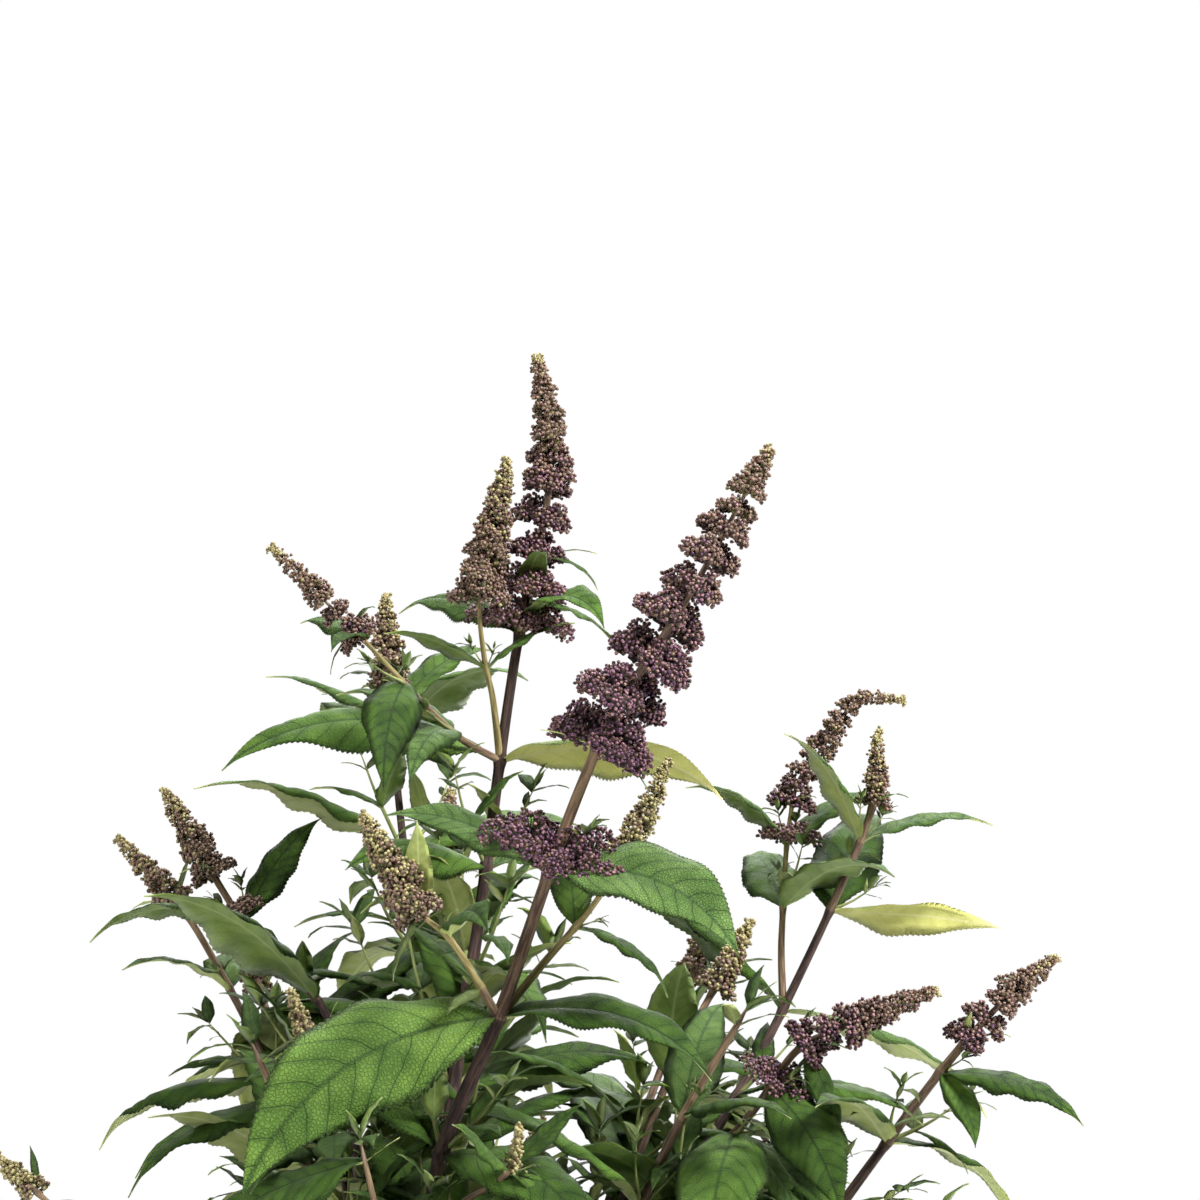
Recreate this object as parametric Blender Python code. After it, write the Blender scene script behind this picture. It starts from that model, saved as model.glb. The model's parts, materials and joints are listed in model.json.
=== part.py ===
# A young butterfly bush, rooted in the ground: one woody foot, canes that fan out of it,
# and on each cane a mass of opposite leaves, side shoots and long panicles of closed buds.
# Metres, +Z up. The origin is the middle of the flat cut at ground level, and -Y is the front.
import itertools
import math
import random
from collections import namedtuple

import bmesh
import bpy
import numpy as np
from mathutils.bvhtree import BVHTree

# Driving sizes
GAP = 0.0003  # between solids that rest on each other
FINEST = 1e-5  # edges shorter than this are closed up
CANE_SHARE = 0.11  # length of the bare cane below each mass
LEAF_THICKNESS = 0.014  # of its length
LEAF_CLEARANCE = 0.0005  # that a leaf keeps to everything outside its mass
LARGE_LEAF = 0.08  # from this length a leaf has two sections across it
SMALLEST_LEAF = 0.040  # that the solids have
SHORTEST_TWIG = 0.050  # axil shoot that the solids have
LOWEST_LEAF = 0.012  # height above the ground
STEM_STEP = 0.038  # between the sections of a stem
# The woody foot: height and radius of its outline, its root flare and its stubs
STOOL = ((0, 0.041), (0.005, 0.035), (0.012, 0.031), (0.020, 0.030), (0.028, 0.028),
         (0.036, 0.024), (0.043, 0.018), (0.048, 0.010))
STOOL_SIDES = 20
FLARE_HEIGHT, FLARE_LOBES = 0.018, 5
STUB_DEPTH = 0.020
SUNK = 0.0007  # that a flower cluster's foot starts behind its stem's axis
LOOKS = {  # base colour and roughness
    "trunk": ((0.13, 0.085, 0.05), 0.9),
    "cane": ((0.12, 0.065, 0.05), 0.7),
    "foliage": ((0.06, 0.15, 0.04), 0.6),
}


DOWN = np.array((0.0, 0.0, -1.0))

# Rings of the stool that the stems stand on: distance out, height and lean of their stubs
RINGS = {
    "inner": (0.013, 0.062, 10),
    "middle": (0.026, 0.050, 26),
    "outer": (0.034, 0.032, 48),
}
TWIG_R = 0.0015
# A stem's radius below its spike and at its tip, as shares of that at its foot
NECK_SHARE, TIP_SHARE = 0.5, 0.13
# How strongly whorls gather towards a spike's tip, how fast the spike narrows, and its turn from the leaves
GATHER, NARROW, SPIKE_TURN = 1.95, 0.62, 45

# A shoot stands on the stool at a ring and compass angle, or on a parent at a distance along it.
# A spike is its flower panicle: length, radius of the lowest whorl, whorls, and whorls set apart below.
Spike = namedtuple("Spike", "length girth whorls apart", defaults=(0,))
Shoot = namedtuple(
    "Shoot", "name foot points radius leaf internode turn bare spike ripe top_gaps", defaults=((),)
)
Leaf = namedtuple("Leaf", "root start length width droop roll fold")
Cyme = namedtuple("Cyme", "root way stalk size share")

LEAF_BY_NODE = (0.24, 0.66, 0.98, 1.0, 0.94, 0.86, 0.78, 0.7, 0.62)
LEAF_WIDTH = 0.31  # of its length
BRACT_WIDTH = 0.16
# An axil shoot's length as a share of its leaf's, the more of it for each node down, and the least leaf
AXIL_LOW, AXIL_MORE, AXIL_LEAF = 0.15, 0.110, 0.05
WIDEST = 0.38  # of the way to a leaf's tip


def unit(v):
    return v / np.linalg.norm(v)


def turned(v, axis, angle):
    """v turned about a unit axis, in radians."""
    c, s = math.cos(angle), math.sin(angle)
    return v * c + np.cross(axis, v) * s + axis * (axis @ v) * (1 - c)


def outward(way, azimuth):
    """The direction square to a stem that lies over that compass angle, in degrees from +X."""
    a = math.radians(azimuth)
    flat = np.array((math.cos(a), math.sin(a), 0.0))
    return unit(flat - way * (flat @ way))


class Line:
    """A smooth line through a few points, measured along its length."""

    def __init__(self, points, start=None, steps=14):
        p = [np.array(q, float) for q in points]
        first = 2 * p[0] - p[1] if start is None else p[1] - start
        p = [first, *p, 2 * p[-1] - p[-2]]
        line = []
        for a, b, c, d in zip(p, p[1:], p[2:], p[3:]):
            reach = np.linalg.norm(c - b)
            into, out = unit(c - a) * reach, unit(d - b) * reach
            for t in np.arange(steps) / steps:
                line.append(
                    (2 * t**3 - 3 * t**2 + 1) * b
                    + (t**3 - 2 * t**2 + t) * into
                    + (3 * t**2 - 2 * t**3) * c
                    + (t**3 - t**2) * out
                )
        line.append(p[-2])
        self.line = np.array(line)
        hops = np.linalg.norm(np.diff(self.line, axis=0), axis=1)
        self.along = np.concatenate([[0], np.cumsum(hops)])
        self.length = float(self.along[-1])

    def at(self, s):
        return np.array([np.interp(s, self.along, self.line[:, k]) for k in range(3)])

    def way(self, s, step=0.004):
        low, high = max(0, s - step), min(self.length, s + step)
        return unit(self.at(high) - self.at(low))


def midrib(leaf, steps):
    """Points, directions and upper normals along a leaf, which bends down under its own weight."""
    hinge = np.cross(leaf.start, DOWN)
    hinge = unit(hinge) if np.linalg.norm(hinge) > 0.05 else np.array((1.0, 0.0, 0.0))
    most = math.acos(max(-1, min(1, float(leaf.start @ DOWN)))) * 0.97
    droop = min(math.radians(leaf.droop), most)
    points, ways, normals, place = [], [], [], leaf.root.copy()
    for i in range(steps + 1):
        t = i / steps
        way = turned(leaf.start, hinge, droop * t**1.25)
        normal = turned(np.cross(way, hinge), way, math.radians(leaf.roll) * min(1, 0.35 + t))
        points.append(place.copy())
        ways.append(way)
        normals.append(normal)
        place += turned(leaf.start, hinge, droop * ((i + 0.5) / steps) ** 1.25) * leaf.length / steps
    return np.array(points), np.array(ways), np.array(normals)


def blade(t):
    """Half width of a leaf at t of its length, as a share of the widest."""
    if t <= 0 or t >= 1:
        return 0.0
    rise = 0.8
    fall = rise * (1 - WIDEST) / WIDEST
    return (t / WIDEST) ** rise * ((1 - t) / (1 - WIDEST)) ** fall


def radius_at(shoot, line, s):
    """A stem tapers evenly to its spike, then quickly to its tip."""
    neck = line.length - (shoot.spike.length if shoot.spike else 0.02)
    if s < neck:
        return shoot.radius * (1 - (1 - NECK_SHARE) * s / neck)
    return shoot.radius * (NECK_SHARE + (TIP_SHARE - NECK_SHARE) * (s - neck) / (line.length - neck))


def nodes_of(shoot, line):
    """Distances along the stem of its leaf nodes, from the spike's foot down to the bare part."""
    s = line.length - (shoot.spike.length if shoot.spike else min(0.012, 0.25 * line.length))
    found = []
    while s > shoot.bare:
        found.append(s)
        k = len(found)
        even = shoot.internode * (1 + 0.08 * math.sin(3 * k))
        s -= shoot.top_gaps[k - 1] if k <= len(shoot.top_gaps) else even
    return found


def leaves_of(shoot, line, dice, own=None):
    """[(node, side, leaf)]: opposite pairs, each at right angles to the next."""
    made = []
    for k, s in enumerate(nodes_of(shoot, line)):
        place, way = line.at(s), line.way(s)
        for side in (0, 1):
            azimuth = shoot.turn + 90 * (k - 1) + 180 * side + dice.uniform(-14, 14)
            share = LEAF_BY_NODE[min(k, len(LEAF_BY_NODE) - 1)] * dice.uniform(0.86, 1.06)
            rise = dice.uniform(18, 46) + (12 if k < 2 else 0)
            length = shoot.leaf * share
            droop = dice.uniform(45, 95) * (0.55 + 0.45 * length / 0.14)
            roll = dice.uniform(-24, 24)
            fold = dice.uniform(8, 26)
            width = (BRACT_WIDTH if k == 0 and shoot.spike else LEAF_WIDTH) * dice.uniform(0.88, 1.12)
            if own and (k, side) in own:
                length, azimuth, rise, droop, roll, *wide = own[k, side]
                width = wide[0] if wide else LEAF_WIDTH
            out = outward(way, azimuth)
            a = math.radians(rise)
            start = unit(out * math.cos(a) + way * math.sin(a))
            root = place + out * radius_at(shoot, line, s) * 0.4
            made.append((k, side, Leaf(root, start, length, length * width, droop, roll, fold)))
    return made


def whorl(spike, i):
    """How far up its spike the whorl with that number stands, as a share, and how far it reaches out."""
    u = 1 - (1 - i / spike.whorls) ** GATHER
    return u, spike.girth * ((1 - u) ** NARROW * 0.93 + 0.07)


def cymes_of(shoot, line, dice):
    """The flower clusters: opposite, in whorls that close up towards the spike's tip."""
    if not shoot.spike:
        return []
    spike, made = shoot.spike, []
    foot = line.length - spike.length
    for i in range(spike.whorls):
        u, size = whorl(spike, i)
        s = foot + spike.length * u
        way = line.way(s)
        for side in (0, 1):
            azimuth = shoot.turn + SPIKE_TURN + 90 * (i + 1) + 180 * side + dice.uniform(-16, 16)
            out = outward(way, azimuth)
            lift = math.radians(8 + 36 * u + dice.uniform(-8, 8))
            heading = unit(out * math.cos(lift) + way * math.sin(lift) - 0.22 * DOWN)
            grown = size * dice.uniform(0.85, 1.08)
            made.append(Cyme(line.at(s), heading, grown * 0.38, grown * 0.66, u))
    for k, s in enumerate(nodes_of(shoot, line)[1 : 1 + spike.apart], 1):
        way = line.way(s)
        for side in (0, 1):
            azimuth = shoot.turn + 90 * (k - 1) + 180 * side + dice.uniform(-25, 25)
            heading = unit(outward(way, azimuth) * 0.75 + way * 0.66)
            size = spike.girth * dice.uniform(0.95, 1.15)
            made.append(Cyme(line.at(s), heading, size * 0.50, size * 0.72, -0.12 * k))
    return made


def grown(shoot, foot, start, own):
    """A shoot with everything on it, as a dict."""
    line = Line([foot, *shoot.points], start)
    dice = random.Random(shoot.name)
    return {
        "shoot": shoot,
        "line": line,
        "nodes": nodes_of(shoot, line),
        "leaves": leaves_of(shoot, line, dice, own.get(shoot.name)),
        "cymes": cymes_of(shoot, line, dice),
    }


def stub(ring, azimuth):
    """Foot and direction of a stem on the stool."""
    out, height, lean = RINGS[ring]
    a, b = math.radians(azimuth), math.radians(lean)
    flat = np.array((math.cos(a), math.sin(a), 0))
    way = flat * math.sin(b) - DOWN * math.cos(b)
    return flat * out - DOWN * height, way


def axil_shoots(found):
    """Short leafy shoots in the angle between a stem and its leaves, longer the lower they stand."""
    taken, made = {shoot.foot for shoot in BRANCHES}, []
    for parent in found:
        shoot, line = parent["shoot"], parent["line"]
        dice = random.Random(shoot.name + " axils")
        for k, side, leaf in parent["leaves"]:
            size = leaf.length * (AXIL_LOW + AXIL_MORE * k) * dice.uniform(0.7, 1.2)
            lean, turn = dice.uniform(0.5, 1.2), dice.uniform(0, 360)
            if k == 0 or (shoot.name, k) in taken or leaf.length < AXIL_LEAF:
                continue
            s = parent["nodes"][k]
            root, way = line.at(s), line.way(s)
            middle = root + unit(leaf.start + way * lean) * size * 0.55
            tip = middle + unit(leaf.start + way * (lean + 0.6)) * size * 0.45
            name = f"{shoot.name}_axil_{k}{'ab'[side]}"
            small = Shoot(name, (shoot.name, k), [middle, tip], TWIG_R, size + 0.012, 0.012 + 0.16 * size,
                          turn, 0.25 * size, None, 0)
            made.append(grown(small, root, None, {}))
    return made


def plant():
    """Every shoot of the bush: those on the stool, their branches, then the axil shoots."""
    found = {}
    for shoot in SEEN + BRANCHES + UNSEEN:
        if shoot.foot[0] in RINGS:
            foot, start = stub(*shoot.foot)
        else:
            parent, node = found[shoot.foot[0]], shoot.foot[1]
            foot, start = parent["line"].at(parent["nodes"][node]), None
        found[shoot.name] = grown(shoot, foot, start, OWN)
    found = list(found.values())
    return found, axil_shoots(found)


# Every stem that the photograph shows, by places along it from its foot to its tip, in metres
SEEN = [
    Shoot(
        "front", ("inner", 258),
        [(-0.015, -0.075, 0.283), (0.018, -0.090, 0.375), (0.065, -0.100, 0.503),
         (0.108, -0.100, 0.574), (0.145, -0.090, 0.641)],
        0.0052, 0.150, 0.070, 185, 0.12, Spike(0.163, 0.027, 13, 1), 1.0, (0.064, 0.073),
    ),
    Shoot(
        "tall", ("inner", 186),
        [(-0.014, 0.030, 0.275), (0.004, 0.045, 0.414), (0.021, 0.055, 0.539),
         (0.040, 0.055, 0.640), (0.033, 0.055, 0.695)],
        0.0048, 0.150, 0.058, 100, 0.12, Spike(0.104, 0.018, 11, 2), 0.85, (0.023, 0.018, 0.066),
    ),
    Shoot(
        "right", ("inner", 330),
        [(0.111, 0.020, 0.266), (0.150, 0.000, 0.326), (0.165, 0.000, 0.346),
         (0.196, -0.005, 0.361), (0.232, -0.010, 0.376)],
        0.0036, 0.120, 0.055, 20, 0.12, Spike(0.072, 0.014, 11, 1), 0.9, (0.027, 0.032),
    ),
    Shoot(
        "left_front", ("outer", 205),
        [(-0.060, -0.030, 0.280), (-0.076, -0.055, 0.353), (-0.084, -0.055, 0.380)],
        0.0026, 0.070, 0.045, 200, 0.08, Spike(0.027, 0.007, 6, 0), 0.35, (0.006,),
    ),
    Shoot(
        "bottom_mid", ("outer", 275),
        [(-0.006, -0.100, 0.276), (0.022, -0.120, 0.304), (0.028, -0.130, 0.325)],
        0.0026, 0.066, 0.050, 185, 0.08, Spike(0.020, 0.004, 5, 0), 0.15, (0.004, 0.05),
    ),
    Shoot(
        "bottom_left", ("outer", 240),
        [(-0.034, -0.112, 0.255), (-0.046, -0.130, 0.322)],
        0.0028, 0.130, 0.060, 185, 0.08, None, 0,
    ),
    Shoot(
        "right_low", ("middle", 10),
        [(0.167, 0.030, 0.234), (0.237, 0.020, 0.331), (0.267, 0.020, 0.365),
         (0.295, 0.020, 0.389)],
        0.0040, 0.125, 0.058, 320, 0.12, Spike(0.062, 0.014, 9, 0), 0.8, (0.020, 0.045),
    ),
    Shoot(
        "right_back", ("inner", 42),
        [(0.163, 0.150, 0.344), (0.195, 0.150, 0.412), (0.214, 0.150, 0.461),
         (0.216, 0.150, 0.498)],
        0.0038, 0.130, 0.058, 20, 0.12, Spike(0.040, 0.009, 7, 0), 0.5, (0.020, 0.042),
    ),
    Shoot(
        "left", ("middle", 150),
        [(-0.076, 0.100, 0.341), (-0.125, 0.120, 0.396), (-0.168, 0.120, 0.468)],
        0.0036, 0.130, 0.060, 200, 0.12, Spike(0.052, 0.012, 8, 1), 0.6, (0.030,),
    ),
    Shoot(
        "back_left", ("inner", 114),
        [(-0.033, 0.150, 0.352), (-0.049, 0.190, 0.481), (-0.055, 0.200, 0.572)],
        0.0036, 0.130, 0.060, 30, 0.12, Spike(0.050, 0.012, 8, 2), 0.55, (0.018, 0.016),
    ),
    Shoot(
        "left_low", ("middle", 182),
        [(-0.096, 0.120, 0.276), (-0.153, 0.150, 0.388), (-0.198, 0.160, 0.439)],
        0.0034, 0.125, 0.058, 250, 0.12, Spike(0.045, 0.010, 7, 0), 0.5,
    ),
]
BRANCHES = [
    Shoot(
        "front_left_branch", ("front", 2),
        [(-0.005, -0.115, 0.412), (-0.020, -0.125, 0.427), (-0.045, -0.125, 0.470)],
        0.0023, 0.075, 0.034, 0, 0.018, Spike(0.052, 0.013, 10, 0), 0.45, (0.020,),
    ),
    Shoot(
        "front_right_branch", ("front", 2),
        [(0.039, -0.080, 0.398), (0.062, -0.070, 0.424), (0.080, -0.070, 0.453),
         (0.097, -0.070, 0.492)],
        0.0022, 0.090, 0.040, 20, 0.03, Spike(0.050, 0.010, 9, 0), 0.3,
    ),
    Shoot(
        "tall_left_branch", ("tall", 3),
        [(-0.009, 0.030, 0.502), (-0.055, 0.010, 0.551), (-0.099, 0.000, 0.596)],
        0.0020, 0.080, 0.036, 280, 0.025, Spike(0.058, 0.010, 10, 1), 0.7, (0.008, 0.030),
    ),
    Shoot(
        "tall_mid_branch", ("tall", 3),
        [(0.010, 0.042, 0.520), (0.006, 0.035, 0.540), (0.004, 0.030, 0.572),
         (0.018, 0.030, 0.641)],
        0.0020, 0.085, 0.036, 200, 0.02, Spike(0.072, 0.014, 12, 0), 0.6,
    ),
    Shoot(
        "right_back_branch", ("right_back", 3),
        [(0.165, 0.170, 0.388), (0.173, 0.180, 0.465), (0.190, 0.180, 0.491),
         (0.207, 0.180, 0.514), (0.231, 0.170, 0.515)],
        0.0022, 0.110, 0.045, 20, 0.03, Spike(0.095, 0.012, 10, 1), 0.75, (0.022, 0.035),
    ),
]
# Leaves that stand out in the photograph, by node and side:
# length, compass angle, rise, droop, roll and share of width
OWN = {
    "front": {
        (2, 0): (0.157, 205, -18, 66, -62, 0.38),
        (2, 1): (0.112, 352, 38, 72, 20, 0.34),
        (1, 1): (0.112, 330, 32, 72, 34, 0.44),
        (1, 0): (0.088, 165, 20, 50, -30, 0.34),
        (0, 0): (0.030, 200, 5, 20, 0, 0.12),
        (0, 1): (0.034, 340, 10, 60, 0, 0.16),
        (3, 0): (0.110, 320, 30, 70, 25, 0.34),
        (3, 1): (0.120, 140, 30, 60, 0, 0.32),
    },
    "tall": {
        (3, 0): (0.152, 190, 22, 72, -28, 0.30),
        (3, 1): (0.122, 350, 25, 62, -45, 0.32),
        (4, 0): (0.095, 222, 20, 60, -30, 0.36),
        (4, 1): (0.120, 30, 30, 70, 10, 0.32),
        (2, 0): (0.074, 300, 62, 120, 20, 0.36),
        (2, 1): (0.085, 150, 30, 70, -20, 0.32),
        (1, 0): (0.050, 250, 70, 90, 0, 0.30),
        (1, 1): (0.060, 20, 10, 60, 10, 0.30),
        (0, 1): (0.038, 350, 15, 70, 10, 0.2),
    },
    "tall_left_branch": {
        (0, 0): (0.026, 350, 30, 70, 10, 0.2),
        (0, 1): (0.026, 200, 5, 80, 0, 0.16),
        (2, 0): (0.036, 200, 0, 70, -20, 0.24),
        (2, 1): (0.075, 250, 10, 80, -30, 0.4),
    },
    "front_left_branch": {
        (1, 0): (0.066, 345, 42, 80, 38, 0.34),
        (1, 1): (0.020, 160, 60, 10, 0, 0.3),
        (0, 0): (0.034, 200, -10, 75, -10, 0.24),
        (0, 1): (0.045, 20, 50, 30, -10, 0.32),
        (2, 1): (0.028, 235, 40, 50, -20, 0.35),
    },
    "right_back": {
        (2, 1): (0.094, 2, 24, 14, -75, 0.24),
    },
    "right": {
        (0, 1): (0.055, 340, 0, 55, 20, 0.28),
        (1, 1): (0.085, 310, 5, 45, 45, 0.40),
        (2, 0): (0.110, 262, 10, 70, 0, 0.42),
        (2, 1): (0.070, 330, 10, 70, 10, 0.36),
    },
    "bottom_mid": {
        (1, 0): (0.052, 195, 35, 20, -50, 0.36),
        (1, 1): (0.056, 350, 20, 30, 45, 0.30),
        (0, 1): (0.045, 60, 40, 10, 30, 0.3),
    },
    "left_front": {
        (1, 0): (0.034, 190, 10, 30, -40, 0.34),
        (1, 1): (0.030, 20, 55, 10, 20, 0.34),
    },
    "bottom_left": {
        (0, 0): (0.085, 185, 0, 30, -35, 0.40),
        (0, 1): (0.020, 0, 30, 10, 0, 0.3),
    },
    "right_low": {
        (1, 1): (0.045, 320, 0, 90, 30, 0.36),
    },
}


def arching(name, ring, azimuth, reach, height, leaf, spike=None, ripe=0.5):
    """A stem that leans out to that reach and height, with a slight sway."""
    a = math.radians(azimuth)
    points = []
    for share, climb in ((0.36, 0.47), (0.70, 0.80), (1.0, 1.0)):
        out, side = reach * share, 0.02 * reach * math.sin(9 * share + azimuth)
        x = out * math.cos(a) - side * math.sin(a)
        y = out * math.sin(a) + side * math.cos(a)
        points.append((x, y, height * climb))
    stout, bare = (0.0036, 0.12) if ring == "middle" else (0.0028, 0.05)
    turn = 7 * azimuth % 360
    return Shoot(name, (ring, azimuth), points, stout, leaf, 0.4 * leaf, turn, bare, spike, ripe)


# Stems that the photograph hides or cuts off fill the crown's back, sides and foot
UNSEEN = [
    arching("rear", "middle", 96, 0.24, 0.46, 0.130, Spike(0.055, 0.012, 8), 0.6),
    arching("rear_left", "middle", 122, 0.28, 0.39, 0.125, Spike(0.050, 0.011, 8), 0.4),
    arching("rear_right", "middle", 62, 0.29, 0.39, 0.125, Spike(0.050, 0.011, 8), 0.5),
    arching("low_right", "outer", 18, 0.25, 0.23, 0.110),
    arching("low_rear_right", "outer", 48, 0.27, 0.29, 0.115, Spike(0.035, 0.009, 6), 0.3),
    arching("low_rear", "outer", 84, 0.26, 0.27, 0.115, Spike(0.030, 0.008, 6), 0.3),
    arching("low_rear_left", "outer", 118, 0.26, 0.25, 0.110),
    arching("low_left", "outer", 165, 0.26, 0.28, 0.115, Spike(0.030, 0.008, 6), 0.3),
    arching("low_left_front", "outer", 222, 0.22, 0.26, 0.115),
    arching("low_front", "outer", 258, 0.20, 0.22, 0.115),
    arching("low_front_right", "outer", 300, 0.22, 0.26, 0.115),
    arching("mid_left", "middle", 218, 0.13, 0.36, 0.130),
    arching("mid_right", "middle", 352, 0.14, 0.37, 0.130),
    arching("mid_rear", "middle", 32, 0.17, 0.40, 0.130, Spike(0.040, 0.010, 7), 0.4),
    arching("low_right_front", "outer", 334, 0.25, 0.28, 0.120),
]


def frames_along(line, stations):
    """Two unit vectors square to the line at each station, carried along it without twist."""
    across, found = np.array((1.0, 0.0, 0.0)), []
    for s in stations:
        way = line.way(s)
        across = unit(across - way * (across @ way))
        found.append((across, np.cross(way, across)))
    return found


def loft(rings):
    """Points and faces of the closed skin over rings of points, with a flat face at each end."""
    n = len(rings[0])
    faces = [tuple(reversed(range(n)))]
    for k in range(len(rings) - 1):
        for i in range(n):
            j = (i + 1) % n
            faces.append((k * n + i, k * n + j, (k + 1) * n + j, (k + 1) * n + i))
    last = (len(rings) - 1) * n
    faces.append(tuple(range(last, last + n)))
    return np.concatenate(rings), faces


def tube(line, low, high, radius, sides, step=STEM_STEP):
    """A stem from low to high along its line; radius is a function of the distance."""
    count = max(1, round((high - low) / step))
    stations = [low + (high - low) * i / count for i in range(count + 1)]
    rings = []
    angles = [math.tau * i / sides for i in range(sides)]
    for s, (u, v) in zip(stations, frames_along(line, stations)):
        centre, r = line.at(s), radius(s)
        rings.append(np.array([centre + r * (u * math.cos(a) + v * math.sin(a)) for a in angles]))
    return loft(rings)


def leaf_solid(leaf, swell=0.0):
    """A leaf blade with a diamond section, pointed at both ends. Swell makes it larger all round."""
    shares = (0.33, 0.68) if leaf.length >= LARGE_LEAF else (0.42,)
    steps = 25
    points, ways, normals = midrib(leaf, steps)
    half_thick = leaf.length * LEAF_THICKNESS / 2 + swell
    made = [points[0] - ways[0] * swell]
    for share in shares:
        i = round(share * steps)
        across = np.cross(ways[i], normals[i])
        half = leaf.width / 2 * blade(share) / blade(WIDEST) + swell
        thick = half_thick * blade(share) / blade(WIDEST)
        made += [points[i] + across * half, points[i] + normals[i] * thick]
        made += [points[i] - across * half, points[i] - normals[i] * thick]
    made.append(points[-1] + ways[-1] * swell)
    faces, last = [], len(made) - 1
    for i in range(4):
        j = (i + 1) % 4
        faces.append((0, 1 + i, 1 + j))
        if len(shares) == 2:
            # Both sides of the blade fold along the same diagonals, so a twisted blade doesn't cut itself
            edge, ridge = (i, j) if i % 2 == 0 else (j, i)
            faces += [(1 + i, 1 + j, 5 + ridge), (5 + j, 5 + i, 1 + edge)]
        faces.append((last, last - 4 + j, last - 4 + i))
    return np.array(made), faces


def spike_solid(shoot, line):
    """A panicle: each whorl is a wide diamond across the stem, turned a quarter from the last."""
    spike, foot = shoot.spike, line.length - shoot.spike.length
    stations, reach = [foot - 0.003], [(1.25 * radius_at(shoot, line, foot),) * 2]
    for i in range(spike.whorls):
        u, size = whorl(spike, i)
        nearer, _ = whorl(spike, i + 0.55)
        rachis = 1.4 * radius_at(shoot, line, foot + spike.length * u)
        wide = (size, max(0.6 * size, rachis))
        stations += [foot + spike.length * (0.02 + 0.94 * share) for share in (u, nearer)]
        reach += [wide if i % 2 else wide[::-1], (max(0.5 * size, rachis),) * 2]
    stations.append(line.length)
    reach.append((0.0010, 0.0010))
    turn, rings = shoot.turn + SPIKE_TURN, []
    for s, (a, b) in zip(stations, reach):
        way = line.way(s)
        u = outward(way, turn)
        v = np.cross(way, u)
        centre = line.at(s)
        rings.append(np.array([centre + u * a, centre + v * b, centre - u * a, centre - v * b]))
    return loft(rings)


def cyme_solid(cyme):
    """A flower cluster on its stalk, as two pyramids base to base."""
    sides, axis, girth = 5, cyme.way, 0.62 * cyme.size
    u = unit(np.cross(axis, (0.3, 0.5, 0.8)))
    v = np.cross(axis, u)
    middle = cyme.root + axis * (cyme.stalk + cyme.size * 0.35)
    angles = [math.tau * i / sides for i in range(sides)]
    ring = [middle + girth * (u * math.cos(a) + v * math.sin(a)) for a in angles]
    foot = cyme.root - axis * SUNK
    points = [foot, *ring, cyme.root + axis * (cyme.stalk + cyme.size)]
    faces = []
    for i in range(sides):
        j = (i + 1) % sides
        faces += [(0, 1 + j, 1 + i), (sides + 1, 1 + i, 1 + j)]
    return np.array(points), faces


def outward_facing(mesh):
    """Turns a closed mesh's faces to point out."""
    shape = bmesh.new()
    shape.from_mesh(mesh)
    bmesh.ops.recalc_face_normals(shape, faces=shape.faces)
    shape.to_mesh(mesh)
    shape.free()


def mesh_of(name, piece):
    mesh = bpy.data.meshes.new(name)
    points, faces = piece
    mesh.from_pydata([tuple(map(float, p)) for p in points], [], faces)
    outward_facing(mesh)
    return mesh


def material(name, look):
    colour, roughness = LOOKS[look]
    made = bpy.data.materials.new(name)
    made.use_nodes = True
    shader = made.node_tree.nodes["Principled BSDF"]
    shader.inputs["Base Color"].default_value = (*colour, 1)
    shader.inputs["Roughness"].default_value = roughness
    shader.inputs["Metallic"].default_value = 0
    return made


def outer_skin(mesh, method):
    """A fused mesh without its sealed hollows and loose scraps, or None where it isn't closed."""
    shape = bmesh.new()
    shape.from_mesh(mesh)
    bmesh.ops.triangulate(shape, faces=shape.faces, ngon_method=method)
    bmesh.ops.dissolve_degenerate(shape, dist=FINEST, edges=shape.edges)
    left, shells = set(shape.faces), []
    while left:
        shell, front = set(), [next(iter(left))]
        while front:
            face = front.pop()
            if face in shell:
                continue
            shell.add(face)
            front += [f for edge in face.edges for f in edge.link_faces if f not in shell]
        left -= shell
        shells.append(shell)
    shells.sort(key=len)
    scrap = [face for shell in shells[:-1] for face in shell]
    bmesh.ops.delete(shape, geom=scrap, context="FACES")
    bmesh.ops.recalc_face_normals(shape, faces=shape.faces)
    closed = all(len(edge.link_faces) == 2 for edge in shape.edges)
    skin = bpy.data.meshes.new(mesh.name)
    shape.to_mesh(skin)
    shape.free()
    return skin if closed else None


def finished(name, mesh, look):
    """The mesh as the part's object of that name."""
    made = bpy.data.objects.new(name, mesh)
    made.data.materials.append(material(name, look))
    bpy.context.scene.collection.objects.link(made)
    return made


def union(name, pieces, solver):
    """The mesh of one Boolean union on a collection of closed pieces that overlap."""
    objects = [bpy.data.objects.new(name, mesh_of(name, piece)) for piece in pieces]
    group = bpy.data.collections.new(name)
    bpy.context.scene.collection.children.link(group)
    bpy.context.scene.collection.objects.link(objects[0])
    for piece in objects[1:]:
        group.objects.link(piece)
    fuse = objects[0].modifiers.new("fuse", "BOOLEAN")
    fuse.operation = "UNION"
    fuse.operand_type = "COLLECTION"
    fuse.collection = group
    fuse.solver = solver
    graph = bpy.context.evaluated_depsgraph_get()
    mesh = bpy.data.meshes.new_from_object(objects[0].evaluated_get(graph))
    for piece in objects:
        bpy.data.objects.remove(piece)
    bpy.data.collections.remove(group)
    mesh.materials.clear()
    return mesh


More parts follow.
